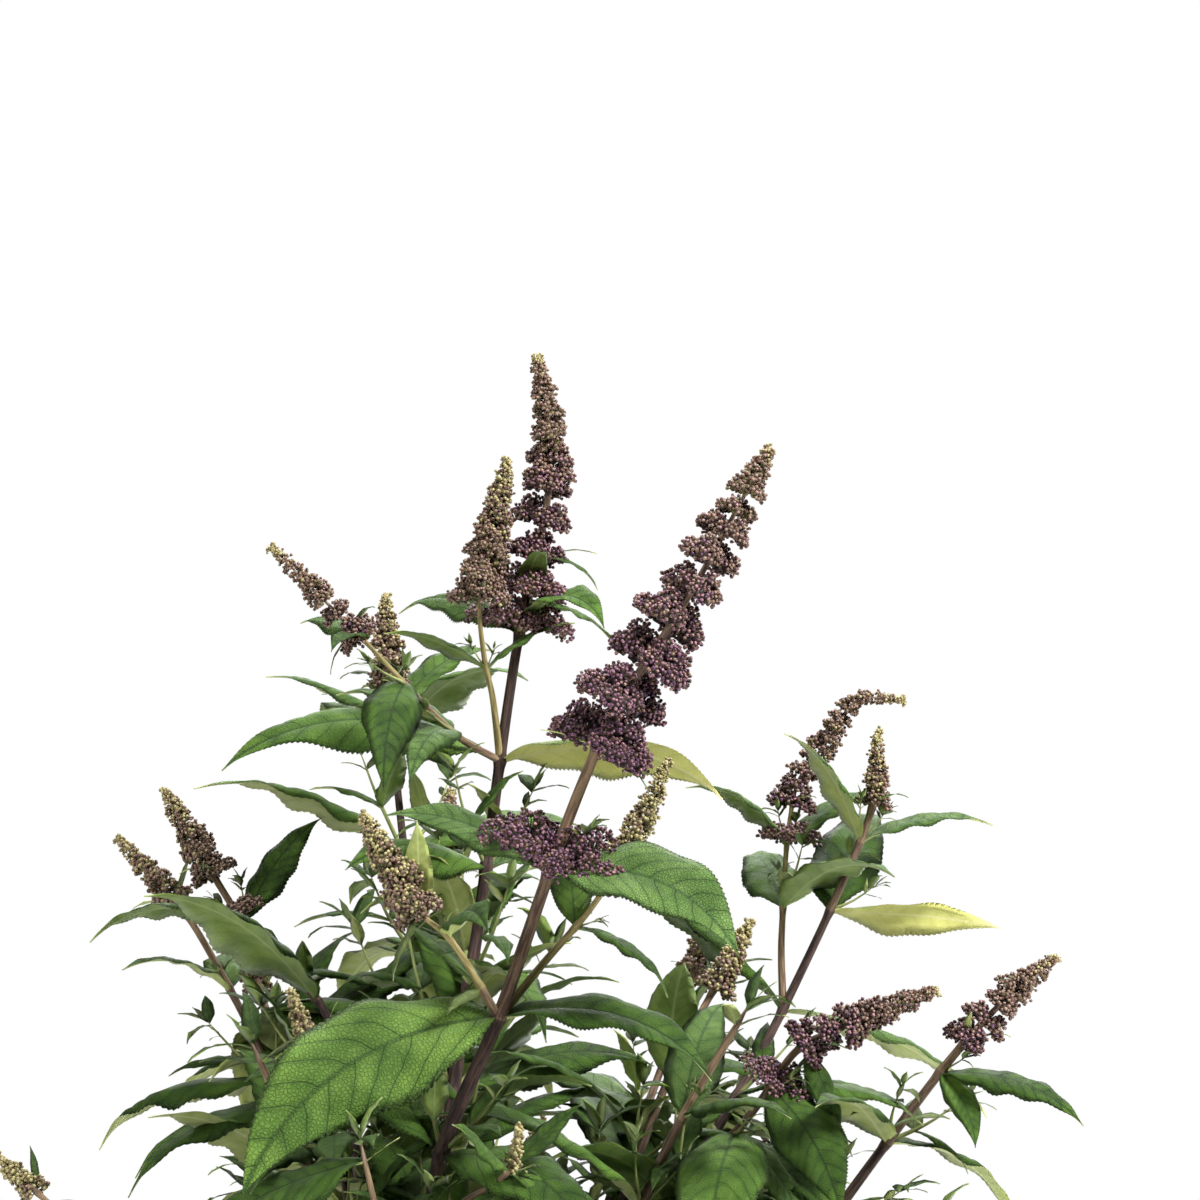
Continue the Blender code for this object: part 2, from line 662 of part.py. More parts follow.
def fused(name, pieces, look, must=None):
    """One solid from closed pieces that overlap. Where they don't join into a closed skin, one of
    the pieces after the first few is left out, from the last to the first of them."""
    whole = range(len(pieces))
    choices = [whole] + [[k for k in whole if k != gone] for gone in reversed(whole[must:])]
    for chosen, solver, method in itertools.product(choices, ("EXACT", "MANIFOLD"), ("BEAUTY", "EAR_CLIP")):
        skin = outer_skin(union(name, [pieces[k] for k in chosen], solver), method)
        if skin:
            print(f"{name}: {solver}, {len(chosen)} of {len(pieces)}, {len(skin.polygons)} triangles")
            return finished(name, skin, look)
    raise ValueError(name + " doesn't close")


def stool_radius(z, angle):
    """The woody foot's outline: a root flare in lobes, then a knobbly dome."""
    heights, radii = zip(*STOOL)
    r = float(np.interp(z, heights, radii))
    flare = max(0.0, 1 - z / FLARE_HEIGHT)
    return r * (1 + 0.10 * flare * math.cos(FLARE_LOBES * angle + 0.6) + 0.03 * math.sin(3 * angle + 90 * z))


def trunk_pieces():
    """The woody foot from its flat cut at the ground to the stubs that its canes stand on."""
    heights = [h for h, _ in STOOL]
    angles = [math.tau * i / STOOL_SIDES for i in range(STOOL_SIDES)]
    rings = []
    for z in heights:
        radii = [stool_radius(z, a) for a in angles]
        rings.append(np.array([(r * math.cos(a), r * math.sin(a), z) for r, a in zip(radii, angles)]))
    pieces = [loft(rings)]
    for shoot in SEEN + UNSEEN:
        foot, way = stub(*shoot.foot)
        line = Line([foot - way * STUB_DEPTH, foot])
        # A stub is a little stouter than its stem and flares into the foot
        stout = 1.6 * shoot.radius
        slim = 1.1 * shoot.radius
        pieces.append(tube(line, 0, STUB_DEPTH - GAP, lambda s: stout + (slim - stout) * s / STUB_DEPTH, 6))
    return pieces


def tree_of(piece):
    """A closed piece's lowest corner, highest corner and search tree."""
    points, faces = piece
    return points.min(0), points.max(0), BVHTree.FromPolygons([tuple(p) for p in points], faces)


def trees_meet(piece, others):
    """Whether a piece cuts any of the others."""
    low, high, own = tree_of(piece)
    near = [tree for foot, top, tree in others if np.all(low <= top) and np.all(foot <= high)]
    return any(own.overlap(tree) for tree in near)


def touches(piece, owner, taken, limbs):
    """Whether a piece cuts a limb or anything of another mass."""
    return trees_meet(piece, limbs + [entry for name in taken if name != owner for entry in taken[name]])


def grow_leaves(made, owner, masses, taken, limbs):
    """Adds a shoot's leaves to its mass, apart from those that would leave its space."""
    for _, _, leaf in made["leaves"]:
        if leaf.length < SMALLEST_LEAF:
            continue
        swollen = leaf_solid(leaf, LEAF_CLEARANCE)
        if swollen[0][:, 2].min() < LOWEST_LEAF or touches(swollen, owner, taken, limbs):
            continue
        solid = leaf_solid(leaf)
        masses[owner].append(solid)
        taken[owner].append(tree_of(solid))


def wood_of(made, low, sides):
    """A shoot's stem from low upwards, with its panicle."""
    shoot, line = made["shoot"], made["line"]
    neck = line.length - (shoot.spike.length - 0.002 if shoot.spike else 0)
    wood = [tube(line, low, neck, lambda s: radius_at(shoot, line, s), sides)]
    if shoot.spike:
        wood.append(spike_solid(shoot, line))
    return wood + [cyme_solid(c) for c in made["cymes"] if c.share < 0]


def main():
    for old in list(bpy.data.objects):
        bpy.data.objects.remove(old)
    pieces = trunk_pieces()
    trunk = fused("trunk", pieces, "trunk", len(pieces))
    skin = np.array([v.co for v in trunk.data.vertices]), [tuple(p.vertices) for p in trunk.data.polygons]
    limbs = [tree_of(skin)]
    shoots, small_shoots = plant()
    owners, masses = {}, {}  # the stem that each shoot grows from, and the pieces of its mass
    for made in shoots:
        shoot, line = made["shoot"], made["line"]
        if shoot.foot[0] not in RINGS:
            owners[shoot.name] = owners[shoot.foot[0]]
            masses[owners[shoot.name]] += wood_of(made, 0, 3)
            continue
        owners[shoot.name] = shoot.name
        low = GAP if shoot.foot[0] == "outer" else CANE_SHARE
        masses[shoot.name] = wood_of(made, low, 4)
        if low > GAP:
            cane = tube(line, 0, low - GAP, lambda s: radius_at(shoot, line, s), 6)
            finished("cane_" + shoot.name, mesh_of("cane_" + shoot.name, cane), "cane")
            limbs.append(tree_of(cane))
    taken = {name: [tree_of(piece) for piece in mass] for name, mass in masses.items()}
    wood = {name: len(mass) for name, mass in masses.items()}
    for made in shoots:
        grow_leaves(made, owners[made["shoot"].name], masses, taken, limbs)
    for made in small_shoots:
        owner, line = owners[made["shoot"].foot[0]], made["line"]
        if line.length < SHORTEST_TWIG:
            continue
        twig = wood_of(made, 0, 3)[0]
        if not touches(twig, owner, taken, limbs):
            masses[owner].append(twig)
            taken[owner].append(tree_of(twig))
            grow_leaves(made, owner, masses, taken, limbs)
    for name, mass in masses.items():
        fused("foliage_" + name, mass, "foliage", wood[name])


main()
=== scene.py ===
# The looks of a young butterfly bush in bud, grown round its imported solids.
import functools
import json
import math
import random
from collections import defaultdict, namedtuple

import bpy
import numpy as np
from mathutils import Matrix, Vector

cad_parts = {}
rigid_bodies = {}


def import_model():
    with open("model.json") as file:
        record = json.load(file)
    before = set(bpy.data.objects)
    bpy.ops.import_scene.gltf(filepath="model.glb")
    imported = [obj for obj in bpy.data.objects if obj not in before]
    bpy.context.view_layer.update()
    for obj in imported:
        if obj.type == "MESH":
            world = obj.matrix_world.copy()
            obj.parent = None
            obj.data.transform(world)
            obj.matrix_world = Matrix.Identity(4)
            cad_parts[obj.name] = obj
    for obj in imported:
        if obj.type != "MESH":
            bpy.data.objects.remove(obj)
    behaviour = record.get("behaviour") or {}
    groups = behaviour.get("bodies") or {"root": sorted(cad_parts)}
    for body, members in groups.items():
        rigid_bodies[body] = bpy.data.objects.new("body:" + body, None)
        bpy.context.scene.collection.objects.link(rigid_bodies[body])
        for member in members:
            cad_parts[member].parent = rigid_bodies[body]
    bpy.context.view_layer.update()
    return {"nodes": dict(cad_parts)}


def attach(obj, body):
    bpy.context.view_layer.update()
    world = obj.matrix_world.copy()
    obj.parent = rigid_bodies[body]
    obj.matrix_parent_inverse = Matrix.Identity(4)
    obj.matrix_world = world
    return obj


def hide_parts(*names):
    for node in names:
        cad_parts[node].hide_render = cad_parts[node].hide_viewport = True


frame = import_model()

# The woody foot's outline, as heights and radii, and the root flare at the ground
STOOL = ((0, 0.041), (0.005, 0.035), (0.012, 0.031), (0.020, 0.030), (0.028, 0.028), (0.036, 0.024),
         (0.043, 0.018), (0.048, 0.010))
FLARE_HEIGHT, FLARE_LOBES = 0.018, 5
STUB_DEPTH = 0.020

DOWN = np.array((0.0, 0.0, -1.0))

# Rings of the stool that the stems stand on: distance out, height and lean of their stubs
RINGS = {
    "inner": (0.013, 0.062, 10),
    "middle": (0.026, 0.050, 26),
    "outer": (0.034, 0.032, 48),
}
TWIG_R = 0.0015  # of an axil shoot
# A stem's radius below its spike and at its tip, as shares of that at its foot
NECK_SHARE, TIP_SHARE = 0.5, 0.13
# How strongly whorls gather towards a spike's tip, how fast the spike narrows, and its turn from the leaves
GATHER, NARROW, SPIKE_TURN = 1.95, 0.62, 45

# A shoot stands on the stool at a ring and compass angle, or on a parent at one of its nodes.
# A spike is its flower panicle: length, radius of the lowest whorl, whorls, and whorls set apart below.
Spike = namedtuple("Spike", "length girth whorls apart", defaults=(0,))
Shoot = namedtuple(
    "Shoot", "name foot points radius leaf internode turn bare spike ripe top_gaps", defaults=((),)
)
Leaf = namedtuple("Leaf", "root start length width droop roll fold")
Cyme = namedtuple("Cyme", "root way stalk size share")

# A leaf's length by its node from the top down, as a share of the shoot's longest
LEAF_BY_NODE = (0.24, 0.66, 0.98, 1.0, 0.94, 0.86, 0.78, 0.7, 0.62)
LEAF_WIDTH = 0.31  # of its length
BRACT_WIDTH = 0.16  # of the length of the leaves under a panicle
# An axil shoot's length as a share of its leaf's, the more of it for each node down, and the least leaf
AXIL_LOW, AXIL_MORE, AXIL_LEAF = 0.15, 0.110, 0.05
WIDEST = 0.38  # of the way to a leaf's tip


def unit(v):
    return v / np.linalg.norm(v)


def turned(v, axis, angle):
    """v turned about a unit axis, in radians."""
    c, s = math.cos(angle), math.sin(angle)
    return v * c + np.cross(axis, v) * s + axis * (axis @ v) * (1 - c)


def outward(way, azimuth):
    """The direction square to a stem that lies over that compass angle, in degrees from +X."""
    a = math.radians(azimuth)
    flat = np.array((math.cos(a), math.sin(a), 0.0))
    return unit(flat - way * (flat @ way))


class Line:
    """A smooth line through a few points, measured along its length."""

    def __init__(self, points, start=None, steps=14):
        p = [np.array(q, float) for q in points]
        first = 2 * p[0] - p[1] if start is None else p[1] - start
        p = [first, *p, 2 * p[-1] - p[-2]]
        line = []
        for a, b, c, d in zip(p, p[1:], p[2:], p[3:]):
            reach = np.linalg.norm(c - b)
            into, out = unit(c - a) * reach, unit(d - b) * reach
            for t in np.arange(steps) / steps:
                line.append(
                    (2 * t**3 - 3 * t**2 + 1) * b
                    + (t**3 - 2 * t**2 + t) * into
                    + (3 * t**2 - 2 * t**3) * c
                    + (t**3 - t**2) * out
                )
        line.append(p[-2])
        self.line = np.array(line)
        hops = np.linalg.norm(np.diff(self.line, axis=0), axis=1)
        self.along = np.concatenate([[0], np.cumsum(hops)])
        self.length = float(self.along[-1])

    def at(self, s):
        return np.array([np.interp(s, self.along, self.line[:, k]) for k in range(3)])

    def way(self, s, step=0.004):
        low, high = max(0, s - step), min(self.length, s + step)
        return unit(self.at(high) - self.at(low))


def midrib(leaf, steps):
    """Points, directions and upper normals along a leaf, which bends down under its own weight."""
    hinge = np.cross(leaf.start, DOWN)
    hinge = unit(hinge) if np.linalg.norm(hinge) > 0.05 else np.array((1.0, 0.0, 0.0))
    most = math.acos(max(-1, min(1, float(leaf.start @ DOWN)))) * 0.97
    droop = min(math.radians(leaf.droop), most)
    points, ways, normals, place = [], [], [], leaf.root.copy()
    for i in range(steps + 1):
        t = i / steps
        way = turned(leaf.start, hinge, droop * t**1.25)
        normal = turned(np.cross(way, hinge), way, math.radians(leaf.roll) * min(1, 0.35 + t))
        points.append(place.copy())
        ways.append(way)
        normals.append(normal)
        place += turned(leaf.start, hinge, droop * ((i + 0.5) / steps) ** 1.25) * leaf.length / steps
    return np.array(points), np.array(ways), np.array(normals)


def blade(t):
    """Half width of a leaf at t of its length, as a share of the widest."""
    if t <= 0 or t >= 1:
        return 0.0
    rise = 0.8
    fall = rise * (1 - WIDEST) / WIDEST
    return (t / WIDEST) ** rise * ((1 - t) / (1 - WIDEST)) ** fall


def radius_at(shoot, line, s):
    """A stem tapers evenly to its spike, then quickly to its tip."""
    neck = line.length - (shoot.spike.length if shoot.spike else 0.02)
    if s < neck:
        return shoot.radius * (1 - (1 - NECK_SHARE) * s / neck)
    return shoot.radius * (NECK_SHARE + (TIP_SHARE - NECK_SHARE) * (s - neck) / (line.length - neck))


def nodes_of(shoot, line):
    """Distances along the stem of its leaf nodes, from the spike's foot down to the bare part."""
    s = line.length - (shoot.spike.length if shoot.spike else min(0.012, 0.25 * line.length))
    found = []
    while s > shoot.bare:
        found.append(s)
        k = len(found)
        even = shoot.internode * (1 + 0.08 * math.sin(3 * k))
        s -= shoot.top_gaps[k - 1] if k <= len(shoot.top_gaps) else even
    return found


def leaves_of(shoot, line, dice, own):
    """[(node, side, leaf)]: opposite pairs, each at right angles to the next."""
    made = []
    for k, s in enumerate(nodes_of(shoot, line)):
        place, way = line.at(s), line.way(s)
        for side in (0, 1):
            azimuth = shoot.turn + 90 * (k - 1) + 180 * side + dice.uniform(-14, 14)
            share = LEAF_BY_NODE[min(k, len(LEAF_BY_NODE) - 1)] * dice.uniform(0.86, 1.06)
            rise = dice.uniform(18, 46) + (12 if k < 2 else 0)
            length = shoot.leaf * share
            droop = dice.uniform(45, 95) * (0.55 + 0.45 * length / 0.14)
            roll = dice.uniform(-24, 24)
            fold = dice.uniform(8, 26)
            width = (BRACT_WIDTH if k == 0 and shoot.spike else LEAF_WIDTH) * dice.uniform(0.88, 1.12)
            if (k, side) in own:
                length, azimuth, rise, droop, roll, width = own[k, side]
                length = length / 1000
            out = outward(way, azimuth)
            a = math.radians(rise)
            start = unit(out * math.cos(a) + way * math.sin(a))
            root = place + out * radius_at(shoot, line, s) * 0.4
            made.append((k, side, Leaf(root, start, length, length * width, droop, roll, fold)))
    return made


def whorl(spike, i):
    """How far up its spike the whorl with that number stands, as a share, and how far it reaches out."""
    u = 1 - (1 - i / spike.whorls) ** GATHER
    return u, spike.girth * ((1 - u) ** NARROW * 0.93 + 0.07)


def cymes_of(shoot, line, dice):
    """The flower clusters: opposite, in whorls that close up towards the spike's tip."""
    if not shoot.spike:
        return []
    spike, made = shoot.spike, []
    foot = line.length - spike.length
    for i in range(spike.whorls):
        u, size = whorl(spike, i)
        s = foot + spike.length * u
        way = line.way(s)
        for side in (0, 1):
            azimuth = shoot.turn + SPIKE_TURN + 90 * (i + 1) + 180 * side + dice.uniform(-16, 16)
            out = outward(way, azimuth)
            lift = math.radians(8 + 36 * u + dice.uniform(-8, 8))
            heading = unit(out * math.cos(lift) + way * math.sin(lift) - 0.22 * DOWN)
            grown = size * dice.uniform(0.85, 1.08)
            made.append(Cyme(line.at(s), heading, grown * 0.38, grown * 0.66, u))
    for k, s in enumerate(nodes_of(shoot, line)[1 : 1 + spike.apart], 1):
        way = line.way(s)
        for side in (0, 1):
            azimuth = shoot.turn + 90 * (k - 1) + 180 * side + dice.uniform(-25, 25)
            heading = unit(outward(way, azimuth) * 0.75 + way * 0.66)
            size = spike.girth * dice.uniform(0.95, 1.15)
            made.append(Cyme(line.at(s), heading, size * 0.50, size * 0.72, -0.12 * k))
    return made


def grown(shoot, foot, start=None):
    """A shoot with everything on it, as a dict."""
    line = Line([foot, *shoot.points], start)
    dice = random.Random(shoot.name)
    return {
        "shoot": shoot,
        "line": line,
        "nodes": nodes_of(shoot, line),
        "leaves": leaves_of(shoot, line, dice, OWN.get(shoot.name, {})),
        "cymes": cymes_of(shoot, line, dice),
    }


def stub(ring, azimuth):
    """Foot and direction of a stem on the stool."""
    out, height, lean = RINGS[ring]
    a, b = math.radians(azimuth), math.radians(lean)
    flat = np.array((math.cos(a), math.sin(a), 0))
    way = flat * math.sin(b) - DOWN * math.cos(b)
    return flat * out - DOWN * height, way


def axil_shoots(found):
    """Short leafy shoots in the angle between a stem and its leaves, longer the lower they stand."""
    taken, made = {shoot.foot for shoot in BRANCHES}, []
    for parent in found:
        shoot, line = parent["shoot"], parent["line"]
        dice = random.Random(shoot.name + " axils")
        for k, side, leaf in parent["leaves"]:
            size = leaf.length * (AXIL_LOW + AXIL_MORE * k) * dice.uniform(0.7, 1.2)
            lean, turn = dice.uniform(0.5, 1.2), dice.uniform(0, 360)
            if k == 0 or (shoot.name, k) in taken or leaf.length < AXIL_LEAF:
                continue
            s = parent["nodes"][k]
            root, way = line.at(s), line.way(s)
            middle = root + unit(leaf.start + way * lean) * size * 0.55
            tip = middle + unit(leaf.start + way * (lean + 0.6)) * size * 0.45
            name = f"{shoot.name}_axil_{k}{'ab'[side]}"
            small = Shoot(name, (shoot.name, k), [middle, tip], TWIG_R, size + 0.012, 0.012 + 0.16 * size,
                          turn, 0.25 * size, None, 0)
            made.append(grown(small, root))
    return made


def plant():
    """Every shoot of the bush: those on the stool, their branches, then the axil shoots."""
    found = {}
    for shoot in SEEN + BRANCHES + UNSEEN:
        if shoot.foot[0] in RINGS:
            foot, start = stub(*shoot.foot)
        else:
            parent, node = found[shoot.foot[0]], shoot.foot[1]
            foot, start = parent["line"].at(parent["nodes"][node]), None
        found[shoot.name] = grown(shoot, foot, start)
    found = list(found.values())
    return found, axil_shoots(found)


def metres(*lengths):
    """Lengths given in millimetres."""
    return tuple(a / 1000 for a in lengths)


def spike_of(length, girth, *rest):
    return Spike(*metres(length, girth), *rest)


def placed_shoot(name, foot, points, sizes, turn, spike, ripe, gaps=()):
    """A shoot by its row, in millimetres. Its sizes: radius, longest leaf, internode and bare part."""
    radius, leaf, internode, bare = metres(*sizes)
    return Shoot(name, foot, [metres(*point) for point in points], radius, leaf, internode, turn, bare,
                 spike and spike_of(*spike), ripe, metres(*gaps))


# Every stem that the photograph shows, by places along it from its foot to its tip
SEEN = [placed_shoot(*row) for row in (
    ("front", ("inner", 258), ((-15, -75, 283), (18, -90, 375), (65, -100, 503), (108, -100, 574),
     (145, -90, 641)), (5.2, 150, 70, 120), 185, (163, 27, 13, 1), 1.0, (64, 73)),
    ("tall", ("inner", 186), ((-14, 30, 275), (4, 45, 414), (21, 55, 539), (40, 55, 640), (33, 55, 695)),
     (4.8, 150, 58, 120), 100, (104, 18, 11, 2), 0.85, (23, 18, 66)),
    ("right", ("inner", 330), ((111, 20, 266), (150, 0, 326), (165, 0, 346), (196, -5, 361),
     (232, -10, 376)), (3.6, 120, 55, 120), 20, (72, 14, 11, 1), 0.9, (27, 32)),
    ("left_front", ("outer", 205), ((-60, -30, 280), (-76, -55, 353), (-84, -55, 380)), (2.6, 70, 45, 80),
     200, (27, 7, 6), 0.35, (6,)),
    ("bottom_mid", ("outer", 275), ((-6, -100, 276), (22, -120, 304), (28, -130, 325)), (2.6, 66, 50, 80),
     185, (20, 4, 5), 0.15, (4, 50)),
    ("bottom_left", ("outer", 240), ((-34, -112, 255), (-46, -130, 322)), (2.8, 130, 60, 80), 185, None,
     0),
    ("right_low", ("middle", 10), ((167, 30, 234), (237, 20, 331), (267, 20, 365), (295, 20, 389)),
     (4, 125, 58, 120), 320, (62, 14, 9), 0.8, (20, 45)),
    ("right_back", ("inner", 42), ((163, 150, 344), (195, 150, 412), (214, 150, 461), (216, 150, 498)),
     (3.8, 130, 58, 120), 20, (40, 9, 7), 0.5, (20, 42)),
    ("left", ("middle", 150), ((-76, 100, 341), (-125, 120, 396), (-168, 120, 468)), (3.6, 130, 60, 120),
     200, (52, 12, 8, 1), 0.6, (30,)),
    ("back_left", ("inner", 114), ((-33, 150, 352), (-49, 190, 481), (-55, 200, 572)), (3.6, 130, 60, 120),
     30, (50, 12, 8, 2), 0.55, (18, 16)),
    ("left_low", ("middle", 182), ((-96, 120, 276), (-153, 150, 388), (-198, 160, 439)),
     (3.4, 125, 58, 120), 250, (45, 10, 7), 0.5),
)]
BRANCHES = [placed_shoot(*row) for row in (
    ("front_left_branch", ("front", 2), ((-5, -115, 412), (-20, -125, 427), (-45, -125, 470)),
     (2.3, 75, 34, 18), 0, (52, 13, 10), 0.45, (20,)),
    ("front_right_branch", ("front", 2), ((39, -80, 398), (62, -70, 424), (80, -70, 453), (97, -70, 492)),
     (2.2, 90, 40, 30), 20, (50, 10, 9), 0.3),
    ("tall_left_branch", ("tall", 3), ((-9, 30, 502), (-55, 10, 551), (-99, 0, 596)), (2, 80, 36, 25), 280,
     (58, 10, 10, 1), 0.7, (8, 30)),
    ("tall_mid_branch", ("tall", 3), ((10, 42, 520), (6, 35, 540), (4, 30, 572), (18, 30, 641)),
     (2, 85, 36, 20), 200, (72, 14, 12), 0.6),
    ("right_back_branch", ("right_back", 3), ((165, 170, 388), (173, 180, 465), (190, 180, 491),
     (207, 180, 514), (231, 170, 515)), (2.2, 110, 45, 30), 20, (95, 12, 10, 1), 0.75, (22, 35)),
)]
# Leaves that stand out in the photograph, by node and side:
# length in millimetres, compass angle, rise, droop, roll and share of width
OWN = {
    "front": {
        (2, 0): (157, 205, -18, 66, -62, 0.38), (2, 1): (112, 352, 38, 72, 20, 0.34),
        (1, 1): (112, 330, 32, 72, 34, 0.44), (1, 0): (88, 165, 20, 50, -30, 0.34),
        (0, 0): (30, 200, 5, 20, 0, 0.12), (0, 1): (34, 340, 10, 60, 0, 0.16),
        (3, 0): (110, 320, 30, 70, 25, 0.34), (3, 1): (120, 140, 30, 60, 0, 0.32),
    },
    "tall": {
        (3, 0): (152, 190, 22, 72, -28, 0.30), (3, 1): (122, 350, 25, 62, -45, 0.32),
        (4, 0): (95, 222, 20, 60, -30, 0.36), (4, 1): (120, 30, 30, 70, 10, 0.32),
        (2, 0): (74, 300, 62, 120, 20, 0.36), (2, 1): (85, 150, 30, 70, -20, 0.32),
        (1, 0): (50, 250, 70, 90, 0, 0.30), (1, 1): (60, 20, 10, 60, 10, 0.30),
        (0, 1): (38, 350, 15, 70, 10, 0.2),
    },
    "tall_left_branch": {
        (0, 0): (26, 350, 30, 70, 10, 0.2), (0, 1): (26, 200, 5, 80, 0, 0.16),
        (2, 0): (36, 200, 0, 70, -20, 0.24), (2, 1): (75, 250, 10, 80, -30, 0.4),
    },
    "front_left_branch": {
        (1, 0): (66, 345, 42, 80, 38, 0.34), (1, 1): (20, 160, 60, 10, 0, 0.3),
        (0, 0): (34, 200, -10, 75, -10, 0.24), (0, 1): (45, 20, 50, 30, -10, 0.32),
        (2, 1): (28, 235, 40, 50, -20, 0.35),
    },
    "right_back": {
        (2, 1): (94, 2, 24, 14, -75, 0.24),
    },
    "right": {
        (0, 1): (55, 340, 0, 55, 20, 0.28), (1, 1): (85, 310, 5, 45, 45, 0.40),
        (2, 0): (110, 262, 10, 70, 0, 0.42), (2, 1): (70, 330, 10, 70, 10, 0.36),
    },
    "bottom_mid": {
        (1, 0): (52, 195, 35, 20, -50, 0.36), (1, 1): (56, 350, 20, 30, 45, 0.30),
        (0, 1): (45, 60, 40, 10, 30, 0.3),
    },
    "left_front": {
        (1, 0): (34, 190, 10, 30, -40, 0.34), (1, 1): (30, 20, 55, 10, 20, 0.34),
    },
    "bottom_left": {
        (0, 0): (85, 185, 0, 30, -35, 0.40), (0, 1): (20, 0, 30, 10, 0, 0.3),
    },
    "right_low": {
        (1, 1): (45, 320, 0, 90, 30, 0.36),
    },
}


def arching(name, ring, azimuth, reach, height, leaf, spike=None, ripe=0.5):
    """A stem that leans out to that reach and height, in millimetres, with a slight sway."""
    a = math.radians(azimuth)
    reach, height, leaf = metres(reach, height, leaf)
    points = []
    for share, climb in ((0.36, 0.47), (0.70, 0.80), (1.0, 1.0)):
        out, side = reach * share, 0.02 * reach * math.sin(9 * share + azimuth)
        x = out * math.cos(a) - side * math.sin(a)
        y = out * math.sin(a) + side * math.cos(a)
        points.append((x, y, height * climb))
    stout, bare = (0.0036, 0.12) if ring == "middle" else (0.0028, 0.05)
    turn = 7 * azimuth % 360
    spike = spike and spike_of(*spike)
    return Shoot(name, (ring, azimuth), points, stout, leaf, 0.4 * leaf, turn, bare, spike, ripe)


# Stems that the photograph hides or cuts off fill the crown's back, sides and foot
UNSEEN = [arching(*row) for row in (
    ("rear", "middle", 96, 240, 460, 130, (55, 12, 8), 0.6),
    ("rear_left", "middle", 122, 280, 390, 125, (50, 11, 8), 0.4),
    ("rear_right", "middle", 62, 290, 390, 125, (50, 11, 8), 0.5),
    ("low_right", "outer", 18, 250, 230, 110),
    ("low_rear_right", "outer", 48, 270, 290, 115, (35, 9, 6), 0.3),
    ("low_rear", "outer", 84, 260, 270, 115, (30, 8, 6), 0.3),
    ("low_rear_left", "outer", 118, 260, 250, 110),
    ("low_left", "outer", 165, 260, 280, 115, (30, 8, 6), 0.3),
    ("low_left_front", "outer", 222, 220, 260, 115),
    ("low_front", "outer", 258, 200, 220, 115),
    ("low_front_right", "outer", 300, 220, 260, 115),
    ("mid_left", "middle", 218, 130, 360, 130),
    ("mid_right", "middle", 352, 140, 370, 130),
    ("mid_rear", "middle", 32, 170, 400, 130, (40, 10, 7), 0.4),
    ("low_right_front", "outer", 334, 250, 280, 120),
)]


# Meshes: every small form is a closed part, and parts of a kind are joined into a few pieces
Part = namedtuple("Part", "points quads tris looks place")
Grade = namedtuple("Grade", "teeth across depth steps", defaults=(20,))

# How finely a leaf is drawn: teeth along it, places across, the teeth's depth, and steps along its midrib
GRADES = {
    "near": Grade(52, (1, 0.8, 0.5, 0.2, 0, -0.2, -0.5, -0.8, -1), 0.00045, 48),
    "main": Grade(32, (1, 0.55, 0, -0.55, -1), 0.0003),
    "far": Grade(10, (1, 0.5, 0, -0.5, -1), 0.0003),
    "small": Grade(3, (1, 0, -1), 0.0002),
}
# Lengths from which a leaf has the finest grade on the near shoots, and under which it has the small one
NEAR_LEAF, SMALL_LEAF = 0.05, 0.035
TOOTH = ((0, -1), (0.7, 1))  # a tooth's foot and tip along the margin, and how far they stand out
# Lengths of leaf from which its teeth and its midrib have their full height
FULL_TEETH, FULL_RIB = 0.1, 0.08
LEAF_THICK = 0.00035
STALK_R, STALK_LEAF = 0.0011, 0.12  # a leaf stalk's radius at this length of leaf
TIP_HALF = 0.0002  # least half width of a blade
VEIN_PAIRS = 10
VEIN_LEAN, VEIN_CURVE = 0.55, 0.42  # how far a lateral vein runs forward as it leaves the midrib
VEIN_SHIFT = 0.3  # of the veins on one side of the midrib, as a share of their spacing
QUILT = 0.11  # height of the blade's swelling between lateral veins, as a share of their spacing
WAVE = 0.10  # height of the margin's waves, as a share of the half width
GROOVE_DEPTH, GROOVE_WIDTH = 0.0004, 0.0008  # over the midrib
RIB_TIP, RIB_MORE, RIB_WIDTH = 0.0003, 0.0007, 0.0009  # height at a leaf's tip, its gain to the foot
PIECE_LIMIT = 190_000  # triangles


@functools.lru_cache(maxsize=None)
def tube_faces(rings, sides):
    """A closed tube's faces: quads between its rings, then a fan over each end."""
    i, j = np.meshgrid(np.arange(rings - 1), np.arange(sides), indexing="ij")
    k = (j + 1) % sides
    here, above = i * sides, (i + 1) * sides
    quads = np.stack([here + j, here + k, above + k, above + j], -1).reshape(-1, 4)
    j = np.arange(sides)
    k, last, foot = (j + 1) % sides, (rings - 1) * sides, rings * sides
    ends = [np.stack([k, j, np.full(sides, foot)], -1),
            np.stack([last + j, last + k, np.full(sides, foot + 1)], -1)]
    return quads, np.concatenate(ends)


def tube_part(rings, looks, place=None, mirrored=0):
    """A closed tube through rings of points. Looks holds the material of each quad, ring by ring.

    From column mirrored on, quads are cut along their other diagonal, so that a blade's upper side
    and underside never cross."""
    count, sides = rings.shape[:2]
    quads, tris = tube_faces(count, sides)
    if mirrored:
        turned_quads = quads.reshape(count - 1, sides, 4).copy()
        turned_quads[:, mirrored:] = np.roll(turned_quads[:, mirrored:], -1, axis=2)
        quads = turned_quads.reshape(-1, 4)
    ends = np.stack([rings[0].mean(0), rings[-1].mean(0)])
    points = np.concatenate([rings.reshape(-1, 3), ends])
    looks = np.broadcast_to(looks, (count - 1, sides))
    looks = np.concatenate([looks.ravel(), looks[0], looks[-1]])
    if place is None:
        place = np.zeros((count, sides, 3))
    place = np.concatenate([place.reshape(-1, 3), place[0, :1], place[-1, :1]])
    return Part(points, quads, tris, looks, place)


def triangles(part):
    return 2 * len(part.quads) + len(part.tris)


def put(name, data):
    """A new object in the scene."""
    made = bpy.data.objects.new(name, data)
    bpy.context.scene.collection.objects.link(made)
    return made


